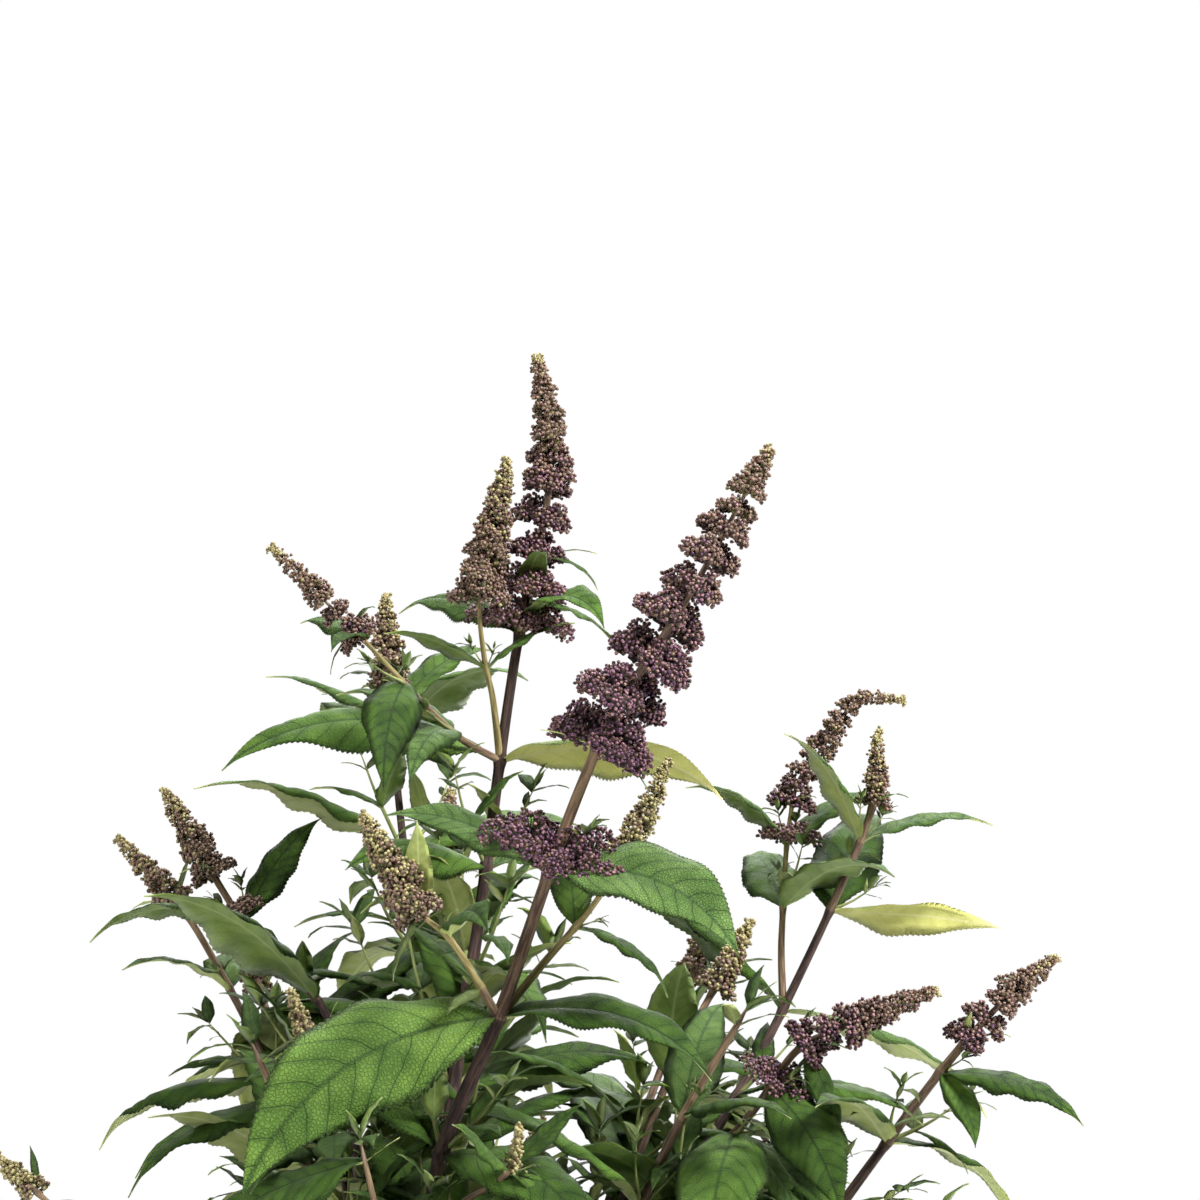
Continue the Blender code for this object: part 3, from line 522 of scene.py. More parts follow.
def joined(name, parts, looks, nodes):
    """One piece from many parts, with its materials, which rides on the plant and stands for those nodes."""
    starts = np.cumsum([0] + [len(p.points) for p in parts])
    quads = np.concatenate([p.quads + s for p, s in zip(parts, starts)])
    tris = np.concatenate([p.tris + s for p, s in zip(parts, starts)])
    kinds = np.concatenate([p.looks[: len(p.quads)] for p in parts] + [p.looks[len(p.quads):] for p in parts])
    corners = np.concatenate([quads.ravel(), tris.ravel()])
    firsts = np.concatenate([np.arange(len(quads)) * 4, 4 * len(quads) + np.arange(len(tris)) * 3])
    mesh = bpy.data.meshes.new(name)
    mesh.vertices.add(starts[-1])
    mesh.loops.add(len(corners))
    mesh.polygons.add(len(firsts))
    place = mesh.attributes.new("place", "FLOAT_VECTOR", "POINT")
    for rows, field, values, kind in (
        (mesh.vertices, "co", np.concatenate([p.points for p in parts]), np.float32),
        (mesh.loops, "vertex_index", corners, np.int32),
        (mesh.polygons, "loop_start", firsts, np.int32),
        (mesh.polygons, "material_index", kinds, np.int32),
        (place.data, "vector", np.concatenate([p.place for p in parts]), np.float32),
    ):
        rows.foreach_set(field, values.astype(kind).ravel())
    mesh.update(calc_edges=True)
    mesh.shade_smooth()
    for look in looks:
        mesh.materials.append(look)
    piece = put(name, mesh)
    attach(piece, "root")
    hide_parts(*nodes)


def pieces_of(kind, parts_by_node, looks):
    """Joins the parts of one kind into pieces below the limit, filled node by node."""
    batch, nodes, size, made = [], [], 0, []
    for node, parts in parts_by_node.items():
        more = sum(map(triangles, parts))
        if batch and size + more > PIECE_LIMIT:
            made.append((batch, nodes))
            batch, nodes, size = [], [], 0
        batch, nodes, size = batch + parts, nodes + [node], size + more
    made.append((batch, nodes))
    for i, (batch, nodes) in enumerate(made, 1):
        joined(f"{kind}_{i}", batch, looks, nodes)


def spread(rows, at, wanted):
    """Rows of numbers given at some places, read at others."""
    return np.stack([np.interp(wanted, at, rows[:, k]) for k in range(rows.shape[1])], -1)


def normal_rows(rows):
    return rows / np.linalg.norm(rows, axis=-1, keepdims=True)


def angles(count):
    return math.tau * np.arange(count) / count


def around(r, angle, z):
    """Points round the z axis, by their distances from it, angles and heights."""
    return np.stack(np.broadcast_arrays(r * np.cos(angle), r * np.sin(angle), z), -1)


# Leaves
@functools.lru_cache(maxsize=None)
def stations_of(grade):
    """Places along a leaf, how far its margin's teeth stand out there, and the blade's half width."""
    teeth = range(grade.teeth)
    t = [(k + a) / grade.teeth for k in teeth for a, _ in TOOTH] + [1.0]
    tooth = [out for _ in teeth for _, out in TOOTH] + [0]
    return np.array(t), np.array(tooth, float), np.array([blade(u) for u in t])


def leaf_part(leaf, grade, upper, under, dice):
    """A closed leaf: a toothed blade, quilted between its veins, on a short stalk, and ribbed below."""
    grade = GRADES[grade]
    t, tooth, wide = stations_of(grade)
    even = np.linspace(0, 1, grade.steps + 1)
    centre, ways, normals = (spread(rows, even, t) for rows in midrib(leaf, grade.steps))
    normals = normal_rows(normals)
    sides = normal_rows(np.cross(normals, ways))
    v = np.array(grade.across, float)
    rel = np.abs(v)
    stalk = STALK_R * (leaf.length / STALK_LEAF) ** 0.5
    half = np.maximum(leaf.width / 2 * wide, np.where(t < 0.3, stalk, TIP_HALF))
    full = np.clip(half / (0.25 * leaf.width), 0, 1)
    depth = grade.depth * min(1, leaf.length / FULL_TEETH)
    x = v * (half[:, None] + (rel == 1) * (tooth * depth * full)[:, None])
    pitch = leaf.length / VEIN_PAIRS
    along = (t * leaf.length / pitch)[:, None]
    across = x / pitch
    phase = along - VEIN_LEAN * np.abs(across) - VEIN_CURVE * across**2 + VEIN_SHIFT * (across > 0)
    swell = np.abs(np.sin(math.pi * phase)) ** 0.7 * rel * (1 - rel**4) * full[:, None]
    fold = math.tan(math.radians(leaf.fold))
    waves, turn, curl = dice.uniform(2.5, 4.5), dice.uniform(0, math.tau), dice.uniform(0.35, 0.85)
    wave = WAVE * np.sin(math.tau * waves * t[:, None] + turn + 1.3 * np.sign(v)) * rel**2 * half[:, None]
    rise = np.abs(x) * fold - curl * x**2 / max(leaf.width / 2, 1e-4) + wave + QUILT * pitch * swell
    top = rise - GROOVE_DEPTH * (np.exp(-((x / GROOVE_WIDTH) ** 2)) * full[:, None])
    rib = (RIB_TIP + RIB_MORE * (1 - t[:, None])) * np.exp(-((x / RIB_WIDTH) ** 2))
    rib = rib * min(1, leaf.length / FULL_RIB)
    low = rise - (LEAF_THICK * (1 - rel**3) + rib * (1 - rel**4))
    heights = np.concatenate([top, low[:, -2:0:-1]], 1)[..., None]
    x = np.concatenate([x, x[:, -2:0:-1]], 1)[..., None]
    rings = centre[:, None] + sides[:, None] * x + normals[:, None] * heights
    columns = len(v) - 1
    looks = np.array([upper] * columns + [under] * columns)
    marks = np.full(x.shape, dice.random())
    place = np.concatenate([x / pitch, np.broadcast_to(along[..., None], x.shape), marks], -1)
    return tube_part(rings, looks, place, columns)


# Stems: how a node swells on a stem and on a twig, how far to either side, and the share of its stub
# that a main stem is sunk into it
NODE_SWELL, TWIG_SWELL, NODE_REACH, SUNK_SHARE = 0.30, 0.15, 0.0028, 0.6


def framed(points, turn):
    """Two directions square to a line at each of its points, which don't spin along it."""
    ways = normal_rows(np.gradient(points, axis=0))
    u = outward(ways[0], turn) if abs(ways[0][2]) > 0.2 else unit(np.cross(ways[0], (0.2, 0.1, 1)))
    made = []
    for way in ways:
        u = unit(u - way * (u @ way))
        made.append(u)
    u = np.array(made)
    return u, np.cross(ways, u)


def ringed(points, radii, sides, turn=0.0, square=0.0):
    """Rings of points round a line. Square, from 0 up, makes them four-angled."""
    u, w = framed(points, turn)
    angle = angles(sides)
    radii = np.asarray(radii)[:, None] * (1 + square * np.cos(4 * angle))
    out = u[:, None] * np.cos(angle)[None, :, None] + w[:, None] * np.sin(angle)[None, :, None]
    return points[:, None] + out * radii[..., None]


def stem_part(made, sides, step, bark):
    """A stem with swollen nodes, coloured internode by internode: bark gives the looks from tip to foot."""
    shoot, line = made["shoot"], made["line"]
    s = np.linspace(0, line.length - 0.0005, max(4, int(line.length / step)))
    points = spread(line.line, line.along, s)
    radii = np.array([radius_at(shoot, line, a) for a in s])
    swell = NODE_SWELL if shoot.radius > 0.002 else TWIG_SWELL
    for node in made["nodes"]:
        radii = radii * (1 + swell * np.exp(-(((s - node) / NODE_REACH) ** 2)))
    if shoot.foot[0] in RINGS:
        way = unit(points[1] - points[0])
        points = np.concatenate([[points[0] - way * SUNK_SHARE * STUB_DEPTH], points])
        radii = np.concatenate([radii[:1], radii])
        s = np.concatenate([[-SUNK_SHARE * STUB_DEPTH], s])
    rings = ringed(points, radii, sides, shoot.turn + 45, 0.06 if sides > 8 else 0)
    order = [sum(node > a for node in made["nodes"]) for a in s[:-1] + step / 2]
    looks = np.array([bark[min(len(bark) - 1, k)] for k in order])[:, None]
    return tube_part(rings, looks, around(radii[:, None], angles(sides), s[:, None]))


# Panicles: every bud is a small closed form
def bud_form(profile, sides=5):
    """A closed bud turned from a profile of (height, radius), as points, faces and the row of each face."""
    points = [around(r, angles(sides) + 0.6 * i, z) for i, (z, r) in enumerate(profile[1:-1])]
    points = np.concatenate(points + [[(0, 0, profile[0][0])], [(0, 0, profile[-1][0])]])
    rings = len(profile) - 2
    quads, ends = tube_faces(rings, sides)
    faces = np.concatenate([quads[:, [0, 1, 3, 1, 2, 3]].reshape(-1, 3), ends])
    rows = np.repeat([*range(1, rings), 0, rings], [2 * sides] * (rings - 1) + [sides] * 2)
    return points, faces, rows


NEAR_BUD = bud_form([(-1.3, 0), (-0.45, 0.80), (0.62, 0.84), (1.0, 0)])
FAR_BUD = bud_form([(-1.2, 0), (-0.45, 0.85), (0.62, 0.88), (1.0, 0)], 4)
BUD_R, BUD_PITCH, BUD_SHAKE = 0.00108, 0.0021, 0.0004  # a bud's radius, spacing and disorder
STALK_GIRTH, STALK_SIZE = 0.0010, 0.018  # radius of a cluster's stalk at this size of cluster


def buds_part(places, ways, radii, kinds, form, dice):
    """Many buds in one part. Kinds holds (calyx, body, tip) material numbers for each bud."""
    points, faces, rows = form
    count = len(places)
    u = normal_rows(np.cross(ways, (0.31, 0.52, 0.79)))
    w = np.cross(ways, u)
    spin = np.array([dice.uniform(0, math.tau) for _ in range(count)])[:, None]
    u, w = u * np.cos(spin) + w * np.sin(spin), w * np.cos(spin) - u * np.sin(spin)
    axes = np.stack([u, w, ways], 1) * radii[:, None, None]
    made = places[:, None] + np.einsum("pk,nkc->npc", points, axes)
    tris = (faces[None] + len(points) * np.arange(count)[:, None, None]).reshape(-1, 3)
    top = rows.max()
    # The top row takes the tip's material, lighter partly as a painted highlight.
    which = np.where(rows == top, 2, np.where(rows == 0, 0, 1))
    looks = np.asarray(kinds)[:, which].ravel()
    return Part(made.reshape(-1, 3), np.zeros((0, 4), int), tris, looks, np.zeros((count * len(points), 3)))


def golden(count):
    """Directions spread evenly over a ball."""
    i = np.arange(count) + 0.5
    z = 1 - 2 * i / count
    return around(np.sqrt(1 - z * z), math.pi * (1 + 5**0.5) * i, z)


Lobe = namedtuple("Lobe", "middle radius")
# How many lobes a cluster under each size has, and one set apart below a panicle
LOBES, LOOSE_LOBES = ((0.005, 2), (0.010, 4), (0.018, 6), (math.inf, 8)), 11


def lobes_of(cyme, axis, tall, dice):
    """A flower cluster's lobes, fanned out and drooping at the rim, its three directions and its middle."""
    loose = cyme.share < 0
    size = cyme.size / (0.60 if loose else 0.66)
    out = unit(cyme.way - 0.8 * axis * (cyme.way @ axis))
    side = unit(np.cross(axis, out))
    up = np.cross(out, side)
    centre = cyme.root + cyme.way * 0.50 * size
    count = LOOSE_LOBES if loose else next(number for most, number in LOBES if size < most)
    fan, lobes = count - (count > 2) - (count > 6), []
    for i in range(fan):
        wide = 330 if loose else 250
        angle = math.radians(((i + 0.5) / fan - 0.5) * wide + dice.uniform(-12, 12))
        away = 0.34 + 0.05 * dice.random() + (0.22 * (i % 2) if loose else 0)
        local = np.array((math.cos(angle) * away, math.sin(angle) * away * 1.3, dice.uniform(-0.10, 0.06)))
        local[2] -= 0.16 * max(0, math.cos(angle))
        lobes.append((local * size, size * (dice.uniform(0.18, 0.24) if loose else dice.uniform(0.22, 0.31))))
    for i in range(count - fan):
        local = np.array((0.10 * (-1) ** i, 0.12 * (-1) ** i, 0.5 * tall / size + dice.uniform(-0.03, 0.03)))
        lobes.append((local * size, size * dice.uniform(0.27, 0.33)))
    rows = np.stack([out, side, up])
    return [Lobe(centre + local @ rows, radius) for local, radius in lobes], rows, centre


def lobe_buds(lobe, lobes, rows, centre, loose, pitch, dice):
    """A lobe's buds, bunched and clear of the other lobes: places, directions and ends of their stalks."""
    count = max(9, int(4 * math.pi * lobe.radius**2 / pitch**2))
    ball = golden(count)
    a, b = dice.uniform(0, math.tau), dice.uniform(0, math.tau)
    for angle, (i, j) in ((a, (0, 1)), (b, (1, 2))):
        spun = ball.copy()
        spun[:, i] = ball[:, i] * math.cos(angle) - ball[:, j] * math.sin(angle)
        spun[:, j] = ball[:, i] * math.sin(angle) + ball[:, j] * math.cos(angle)
        ball = spun
    bunches = max(3, count // (8 if loose else 9))
    middles = normal_rows(golden(bunches) + np.array([[dice.uniform(-0.25, 0.25) for _ in range(3)]
                                                      for _ in range(bunches)]))
    closeness = np.arccos(np.clip((ball @ middles.T).max(1), -1, 1)) / math.acos(max(-1, 1 - 2 / bunches))
    away = unit(lobe.middle - centre) if np.linalg.norm(lobe.middle - centre) > 1e-6 else rows[2]
    facing, lift = ball @ away, ball @ rows[2]
    shown = (closeness < (1.0 if loose else 1.25)) & ((lift > -0.35) | ((facing > 0.45) & (lift > -0.8)))
    ball, closeness = ball[shown], closeness[shown]
    shaken = np.array([[dice.gauss(0, BUD_SHAKE) for _ in range(3)] for _ in ball])
    places = lobe.middle + ball * (lobe.radius * (1.16 - 0.40 * closeness**2))[:, None] + shaken
    clear = np.ones(len(places), bool)
    for other in lobes:
        if other is not lobe:
            clear &= np.linalg.norm(places - other.middle, axis=1) > 0.92 * other.radius
    ways = normal_rows(ball + 0.4 * rows[2] + shaken * 700)
    return places[clear], ways[clear], lobe.middle + middles[middles @ rows[2] > -0.4] * lobe.radius * 0.8


def core_part(lobe, rows, look):
    """The crowded stalks inside a lobe, as a dark lumpy form, darker than the stalks as painted shade inside
    the cluster.
    """
    rings = []
    for height in (-0.85, 0.0, 0.85):
        ball = around(math.sqrt(1 - height**2), angles(5) + height, height)
        rings.append(lobe.middle + ball * lobe.radius * 0.80 @ rows)
    return tube_part(np.array(rings), look)


def ripeness_of(shoot, cyme):
    """Buds ripen from the panicle's foot up; only the last of the tip is still green."""
    u = max(0, cyme.share)
    return shoot.ripe * (1.2 - 0.62 * u) - 3.5 * max(0, u - 0.93)


# How far up its panicle a shoot's whorls begin to stand close, where it isn't from the foot
CLOSE_FROM = {"front": 0.82, "tall": 0.35, "right": 0.30, "right_low": 0.45, "tall_left_branch": 0.35}


def more_cymes(made, dice):
    """Clusters that only the fine plant has: between the whorls of a young, close panicle, and at the tip."""
    shoot, line = made["shoot"], made["line"]
    spike, foot, found = shoot.spike, line.length - shoot.spike.length, []
    for i in range(spike.whorls):
        u, size = whorl(spike, i + 0.5)
        if u < CLOSE_FROM.get(shoot.name, 0):
            continue
        s = foot + spike.length * u
        way = line.way(s)
        for side in (0, 1):
            out = outward(way, shoot.turn + SPIKE_TURN + 90 * i + 45 + 180 * side + dice.uniform(-16, 16))
            heading = unit(out + way * (0.3 + 0.5 * u))
            size_here = size * dice.uniform(0.85, 1.0)
            found.append(Cyme(line.at(s), heading, size_here * 0.38, size_here * 0.62, u))
    way = line.way(line.length)
    tip = line.at(line.length - 0.0015)
    found.append(Cyme(tip, unit(outward(way, shoot.turn) * 0.3 + way), 0.0006, 0.0026, 1.0))
    return found


def stalk_part(path, girth, shares, sides, look):
    """A thin stalk along a path, its radii as shares of a girth."""
    return tube_part(ringed(np.array(path), [share * girth for share in shares], sides), look)


def panicle_parts(made, form, coarse, dice):
    """A panicle's buds and the stalks that carry them, cluster by cluster."""
    shoot, line = made["shoot"], made["line"]
    buds, stalks = [], []
    for cyme in made["cymes"] + more_cymes(made, dice):
        s = line.along[np.argmin(np.linalg.norm(line.line - cyme.root, axis=1))]
        axis = line.way(s)
        loose = cyme.share < 0
        size = cyme.size / 0.66
        tall = 0.25 * size if loose else size * (0.62 - 0.22 * cyme.share)
        lobes, rows, centre = lobes_of(cyme, axis, tall, dice)
        radius = BUD_R * coarse * min(1, 0.62 + cyme.size / 0.014)
        ripeness = ripeness_of(shoot, cyme)
        look = 0 if ripeness > 1.1 and loose else 1 if ripeness > 0.75 else 2
        fork = cyme.root + cyme.way * (cyme.stalk * 0.7)
        girth = STALK_GIRTH * (cyme.size / STALK_SIZE) ** 0.5
        path = [cyme.root, (cyme.root + fork) / 2, fork]
        stalks.append(stalk_part(path, girth, (1, 0.9, 0.8), 5, look))
        for lobe in lobes:
            places, ways, ends = lobe_buds(lobe, lobes, rows, centre, loose, BUD_PITCH * coarse, dice)
            kinds = []
            for _ in places:
                ripe = ripeness + dice.gauss(0, 0.12)
                kinds.append(next(kind for least, kind in BUD_KINDS if ripe > least))
            radii = radius * np.array([dice.uniform(0.78, 1.12) for _ in places])
            buds.append(buds_part(places, ways, radii, kinds, form, dice))
            if coarse < 1.2 or loose:
                path = [fork, (fork + lobe.middle) / 2 + axis * 0.0006, lobe.middle]
                stalks.append(stalk_part(path, girth, (0.7, 0.55, 0.5), 4 if coarse == 1 else 3, look))
            if loose and coarse < 1.2:
                low = lobe.middle - 0.5 * lobe.radius * rows[2]
                for end in ends:
                    path = [low, (lobe.middle + end) / 2, end]
                    stalks.append(stalk_part(path, girth, (0.4, 0.35, 0.3), 4, look))
            elif lobe.radius > 0.0016:
                stalks.append(core_part(lobe, rows, 3 if ripeness > 0.75 else 4))
    return buds, stalks


# Materials
def linear(shade):
    """A colour given as 0 to 255 in sRGB."""
    shares = [c / 255 for c in shade]
    return tuple(c / 12.92 if c < 0.0408 else ((c + 0.055) / 1.055) ** 2.4 for c in shares) + (1.0,)


class Field:
    """A value worked out at each point of a surface, with the usual arithmetic for numbers."""

    def __init__(self, tree, socket):
        self.tree, self.socket = tree, socket

    def maths(self, operation, *others):
        return node(self.tree, "ShaderNodeMath", enumerate((self, *others)), operation=operation)

    __add__ = functools.partialmethod(maths, "ADD")
    __sub__ = functools.partialmethod(maths, "SUBTRACT")
    __mul__ = functools.partialmethod(maths, "MULTIPLY")
    __abs__ = functools.partialmethod(maths, "ABSOLUTE")


def connect(value, socket):
    """Gives a socket a plain value or links it to a field."""
    if isinstance(value, Field):
        value.tree.links.new(value.socket, socket)
    else:
        socket.default_value = value


def node(tree, kind, inputs=(), output=0, **settings):
    """One output of a new node with these settings and inputs."""
    made = tree.nodes.new(kind)
    for name, value in settings.items():
        setattr(made, name, value)
    for key, value in dict(inputs).items():
        connect(value, made.inputs[key])
    return Field(tree, made.outputs[output])


def noise(where, scale, detail):
    return node(where.tree, "ShaderNodeTexNoise", {"Vector": where, "Scale": scale, "Detail": detail}, "Fac")


def ranged(value, low, high):
    """Runs softly from 0 to 1 as the value goes from low to high."""
    inputs = {"Value": value, "From Min": low, "From Max": high}
    return node(value.tree, "ShaderNodeMapRange", inputs, "Result", interpolation_type="SMOOTHSTEP")


def mixed(share, a, b):
    return node(share.tree, "ShaderNodeMix", {0: share, 6: a, 7: b}, 2, data_type="RGBA")


def fresh(name, roughness, shine, sheen=0.0):
    """A new material with its tree and its shader."""
    made = bpy.data.materials.new(name)
    made.use_nodes = True
    shader = made.node_tree.nodes["Principled BSDF"]
    for key, value in (("Roughness", roughness), ("Specular IOR Level", shine), ("Sheen Weight", sheen),
                       ("Sheen Roughness", 0.5)):
        shader.inputs[key].default_value = value
    return made, made.node_tree, shader


def placed(tree):
    """The place on a leaf or stem that each point was given."""
    return node(tree, "ShaderNodeAttribute", output="Vector", attribute_name="place")


def finished(made, shader, shade, height=None, depth=0.0):
    """The material once its shader has its colour, and its relief where it has any."""
    connect(shade, shader.inputs["Base Color"])
    if height:
        bump = node(height.tree, "ShaderNodeBump", {"Height": height, "Distance": depth}, "Normal")
        connect(bump, shader.inputs["Normal"])
    return made


def leaf_material(name, shades, roughness, shine, under=False):
    """A blade with mottled green, lateral veins and a fine net between them. On the upper side the darker
    lines of the sunken veins and net are painted shade, and the lighter middles between lateral veins are a
    painted highlight on the swells.
    """
    made, tree, shader = fresh(name, roughness, shine, 0.25 if under else 0.05)
    dark, light, vein, midrib = map(linear, shades)
    where = placed(tree)
    across, along = (node(tree, "ShaderNodeSeparateXYZ", {0: where}, axis) for axis in "XY")
    aside = abs(across)
    forward = aside * VEIN_LEAN + aside * aside * VEIN_CURVE
    stir = (noise(where, 0.9, 1.0) - 0.5) * 0.45 + across.maths("GREATER_THAN", 0.0) * VEIN_SHIFT
    phase = (stir + (along - forward)).maths("FRACT")
    nearness = abs(phase - 0.5) * 2.0
    on_vein, on_rib = ranged(nearness, 0.92, 1.0), ranged(aside, 0.13, 0.03)
    net = node(tree, "ShaderNodeTexVoronoi", {"Vector": where, "Scale": 8.5, "Randomness": 0.9},
               "Distance", feature="DISTANCE_TO_EDGE")
    cell = ranged(net, 0.0, 0.22)
    # The noise is the green's own mottle; the lighter middles between lateral veins are a painted highlight
    # on the swells there.
    mottle_and_painted_highlight = ranged(noise(where, 0.55, 3.0), 0.35, 0.65) * 0.78 + ranged(nearness, 0.95, 0.3) * 0.22
    shade = mixed(mottle_and_painted_highlight, dark, light)
    # Darker net lines and lateral veins, on the upper side painted shade in their sunken lines, then the
    # midrib's own colour.
    for share, line in (((cell - 1.0) * -0.28, vein), (on_vein * 0.36, vein), (on_rib * 0.8, midrib)):
        shade = mixed(share, shade, line)
    height = cell * 0.5 - on_vein * 0.9
    if under:
        return finished(made, shader, shade, height * -1.0, UNDER_RELIEF)
    return finished(made, shader, shade, height, SOFT_RELIEF.get(name, UPPER_RELIEF))


def bark_material(name, shades, speck_share):
    """Bark or green stem: long streaks along it and fine specks."""
    made, tree, shader = fresh(name, 0.7, 0.25, 0.1)
    dark, light, speck = map(linear, shades)
    where = placed(tree)
    stretched = node(tree, "ShaderNodeVectorMath", {0: where, 1: (1.0, 1.0, 0.10)}, operation="MULTIPLY")
    streak, fine = noise(stretched, 700.0, 3.0), noise(where, 2600.0, 1.0)
    shade = mixed(ranged(streak, 0.36, 0.64), dark, light)
    shade = mixed(ranged(fine, 0.60, 0.68) * speck_share, shade, speck)
    return finished(made, shader, shade, streak + fine * 0.4, 0.0004)


def bud_material(name, shades, roughness=0.42):
    """Bud skin, a little paler here and there."""
    made, tree, shader = fresh(name, roughness, 0.5, 0.1)
    blotch = noise(node(tree, "ShaderNodeTexCoord", output="Object"), 560.0, 1.0)
    return finished(made, shader, mixed(ranged(blotch, 0.38, 0.62), *map(linear, shades)))


# Depth of the net and the veins in a leaf's underside, in its upper side, and where that differs
UNDER_RELIEF, UPPER_RELIEF, SOFT_RELIEF = 0.00004, 0.0009, {"leaf_mid": 0.0005, "leaf_dark": 0.0005}
# Tones of a leaf's upper side and underside: dark, light, vein and midrib
UPPERS = {
    # A little lighter than the middle green below it: painted light, for the front stem's big leaf.
    "leaf_bright": ((60, 92, 30), (104, 136, 56), (38, 64, 22), (50, 76, 28)),
    "leaf_mid": ((60, 92, 30), (98, 132, 50), (36, 58, 20), (50, 76, 30)),
    # A darker copy of the middle green: painted shade, which low leaves take most often.
    "leaf_dark": ((40, 66, 17), (76, 108, 36), (22, 38, 10), (34, 54, 16)),
    "leaf_blue": ((72, 104, 44), (112, 144, 74), (44, 68, 32), (60, 88, 44)),
    "leaf_young": ((118, 138, 76), (152, 170, 104), (92, 114, 56), (104, 126, 66)),
}
UNDERS = {
    "leaf_felt": ((164, 178, 98), (194, 204, 124), (134, 148, 76), (202, 208, 144)),
    # Paler and yellower than the felt: painted light shining through the leaf from behind.
    "leaf_glow": ((206, 206, 118), (224, 222, 138), (168, 174, 88), (220, 216, 150)),
    "leaf_back": ((112, 138, 62), (144, 166, 86), (84, 108, 44), (156, 172, 102)),
}
# Dark, light and speck of the bark, and how much the specks show
BARKS = {
    "stem_rachis": (((104, 82, 70), (150, 128, 108), (74, 52, 46)), 0.3),
    "stem_tan": (((104, 82, 64), (150, 126, 98), (72, 52, 44)), 0.45),
    "stem_brown": (((74, 56, 46), (122, 100, 80), (44, 32, 30)), 0.75),
    "stem_old": (((48, 34, 34), (88, 68, 60), (28, 20, 22)), 0.8),
    "stem_olive": (((118, 106, 64), (164, 150, 100), (96, 76, 56)), 0.35),
    "stem_green": (((122, 132, 74), (164, 170, 110), (120, 112, 72)), 0.2),
    "stem_wood": (((62, 48, 38), (108, 90, 72), (38, 29, 25)), 0.6),
}
# Dark and light of the buds and of the crowded stalks inside a cluster
BUDS = {
    "bud_calyx_brown": ((108, 80, 58), (160, 128, 92)),
    "bud_calyx_green": ((126, 122, 72), (160, 154, 98)),
    "bud_purple": ((46, 24, 34), (104, 70, 58)),
    "bud_mauve": ((80, 56, 46), (124, 96, 78)),
    "bud_tan": ((122, 108, 70), (160, 146, 98)),
    # The tips: lighter than the bodies, partly the lobes' own colour and partly a painted highlight on each
    # bud's tip; the first one's light end, in fine blotches, is painted glints.
    "bud_lilac": ((84, 38, 78), (170, 126, 130)),
    "bud_rose": ((108, 82, 70), (158, 130, 112)),
    "bud_lime": ((166, 158, 104), (190, 180, 126)),
    "bud_deep": ((62, 20, 64), (136, 90, 112)),
}
# The cluster cores, darker than the stalks outside: partly the crowded stalks, partly painted shade deep
# inside the clusters.
CORES = {"cluster_dark": ((46, 32, 34), (70, 52, 48)), "cluster_green": ((96, 92, 56), (124, 118, 74))}
# The least ripeness of each kind of bud, and its materials: calyx, body and tip, whose lighter colour is
# partly a painted highlight
BUD_KINDS = [(1.08, (0, 2, 8)), (0.88, (0, 2, 5)), (0.42, (0, 3, 6)), (-9, (1, 4, 7))]
STALKS = ["stem_old", "stem_rachis", "stem_green", "cluster_dark", "cluster_green"]

# How a stem is drawn: its sides, its steps, and its bark from the tip down, internode by internode
STEMS = {
    "near": (14, 0.003, (0, 1, 2, 3)),
    "main": (10, 0.005, (0, 1, 2, 3)),
    "branch": (10, 0.0025, (0, 4, 4, 1)),
    "axil": (5, 0.005, (5,)),
}
# How much larger than life a panicle's buds are drawn, and fewer
COARSE, COARSE_ELSE = {
    "front": 1.0, "tall": 1.08, "front_left_branch": 1.0, "front_right_branch": 1.0, "right": 1.05,
    "tall_mid_branch": 1.0, "tall_left_branch": 1.0, "right_low": 1.1, "back_left": 1.1, "left": 1.1,
    "right_back": 1.1, "right_back_branch": 1.1,
}, 1.25
NEAR_SHOOTS = ("front", "tall", "front_left_branch", "front_right_branch", "right", "bottom_mid",
               "bottom_left")

# Upper sides by how often a leaf has them, for young, low and high leaves: up to which roll, and which
YOUNG_LEAF, LOW_PLACE = 0.04, 0.36
TONE_SHARES = {
    "young": ((0.5, 4), (0.8, 3), (1, 1)),
    "low": ((0.7, 2), (0.9, 1), (1, 3)),
    # Low leaves mostly take the darker copy, painted shade.
    "high": ((0.35, 2), (0.75, 1), (1, 3)),
}
# Upper side and underside of single leaves
TONES = {
    # The front stem's big leaf takes the lighter copy, painted light.
    ("front", 2, 0): (0, 2), ("front", 1, 1): (3, 2), ("tall", 3, 0): (1, 2), ("front", 1, 0): (3, 2),
    # Underside 1 on this row's last two leaves is painted light shining through them.
    ("front", 0, 0): (4, 0), ("front", 0, 1): (4, 0), ("tall", 3, 1): (4, 1), ("right_back", 2, 1): (4, 1),
}


def tone_of(name, k, side, leaf, dice):
    """The materials of a leaf's upper side and underside."""
    roll = dice.random()
    kind = "young" if leaf.length < YOUNG_LEAF else "low" if leaf.root[2] < LOW_PLACE else "high"
    tone = next(tone for most, tone in TONE_SHARES[kind] if roll < most)
    under = 0 if dice.random() < 0.6 else 2
    tone, under = TONES.get((name, k, side), (tone, under))
    return tone, len(UPPERS) + under


def grade_of(leaf, fine, far):
    """How finely a leaf is drawn. Fine leaves are the known ones of the near shoots."""
    if fine and leaf.length > NEAR_LEAF:
        return "near"
    return "small" if leaf.length < SMALL_LEAF else "far" if far else "main"


def stool_radius(z, angle):
    """The woody foot's outline: a root flare in lobes, then a knobbly dome."""
    heights, radii = zip(*STOOL)
    r = np.interp(z, heights, radii)
    flare = np.maximum(0.0, 1 - z / FLARE_HEIGHT)
    return r * (1 + 0.10 * flare * np.cos(FLARE_LOBES * angle + 0.6) + 0.03 * np.sin(3 * angle + 90 * z))


FOOT_SIDES, FOOT_ROWS, CRACK_DEPTH = 96, 40, 0.0012
STUB_SIDES, STUB_ROWS = 14, 12


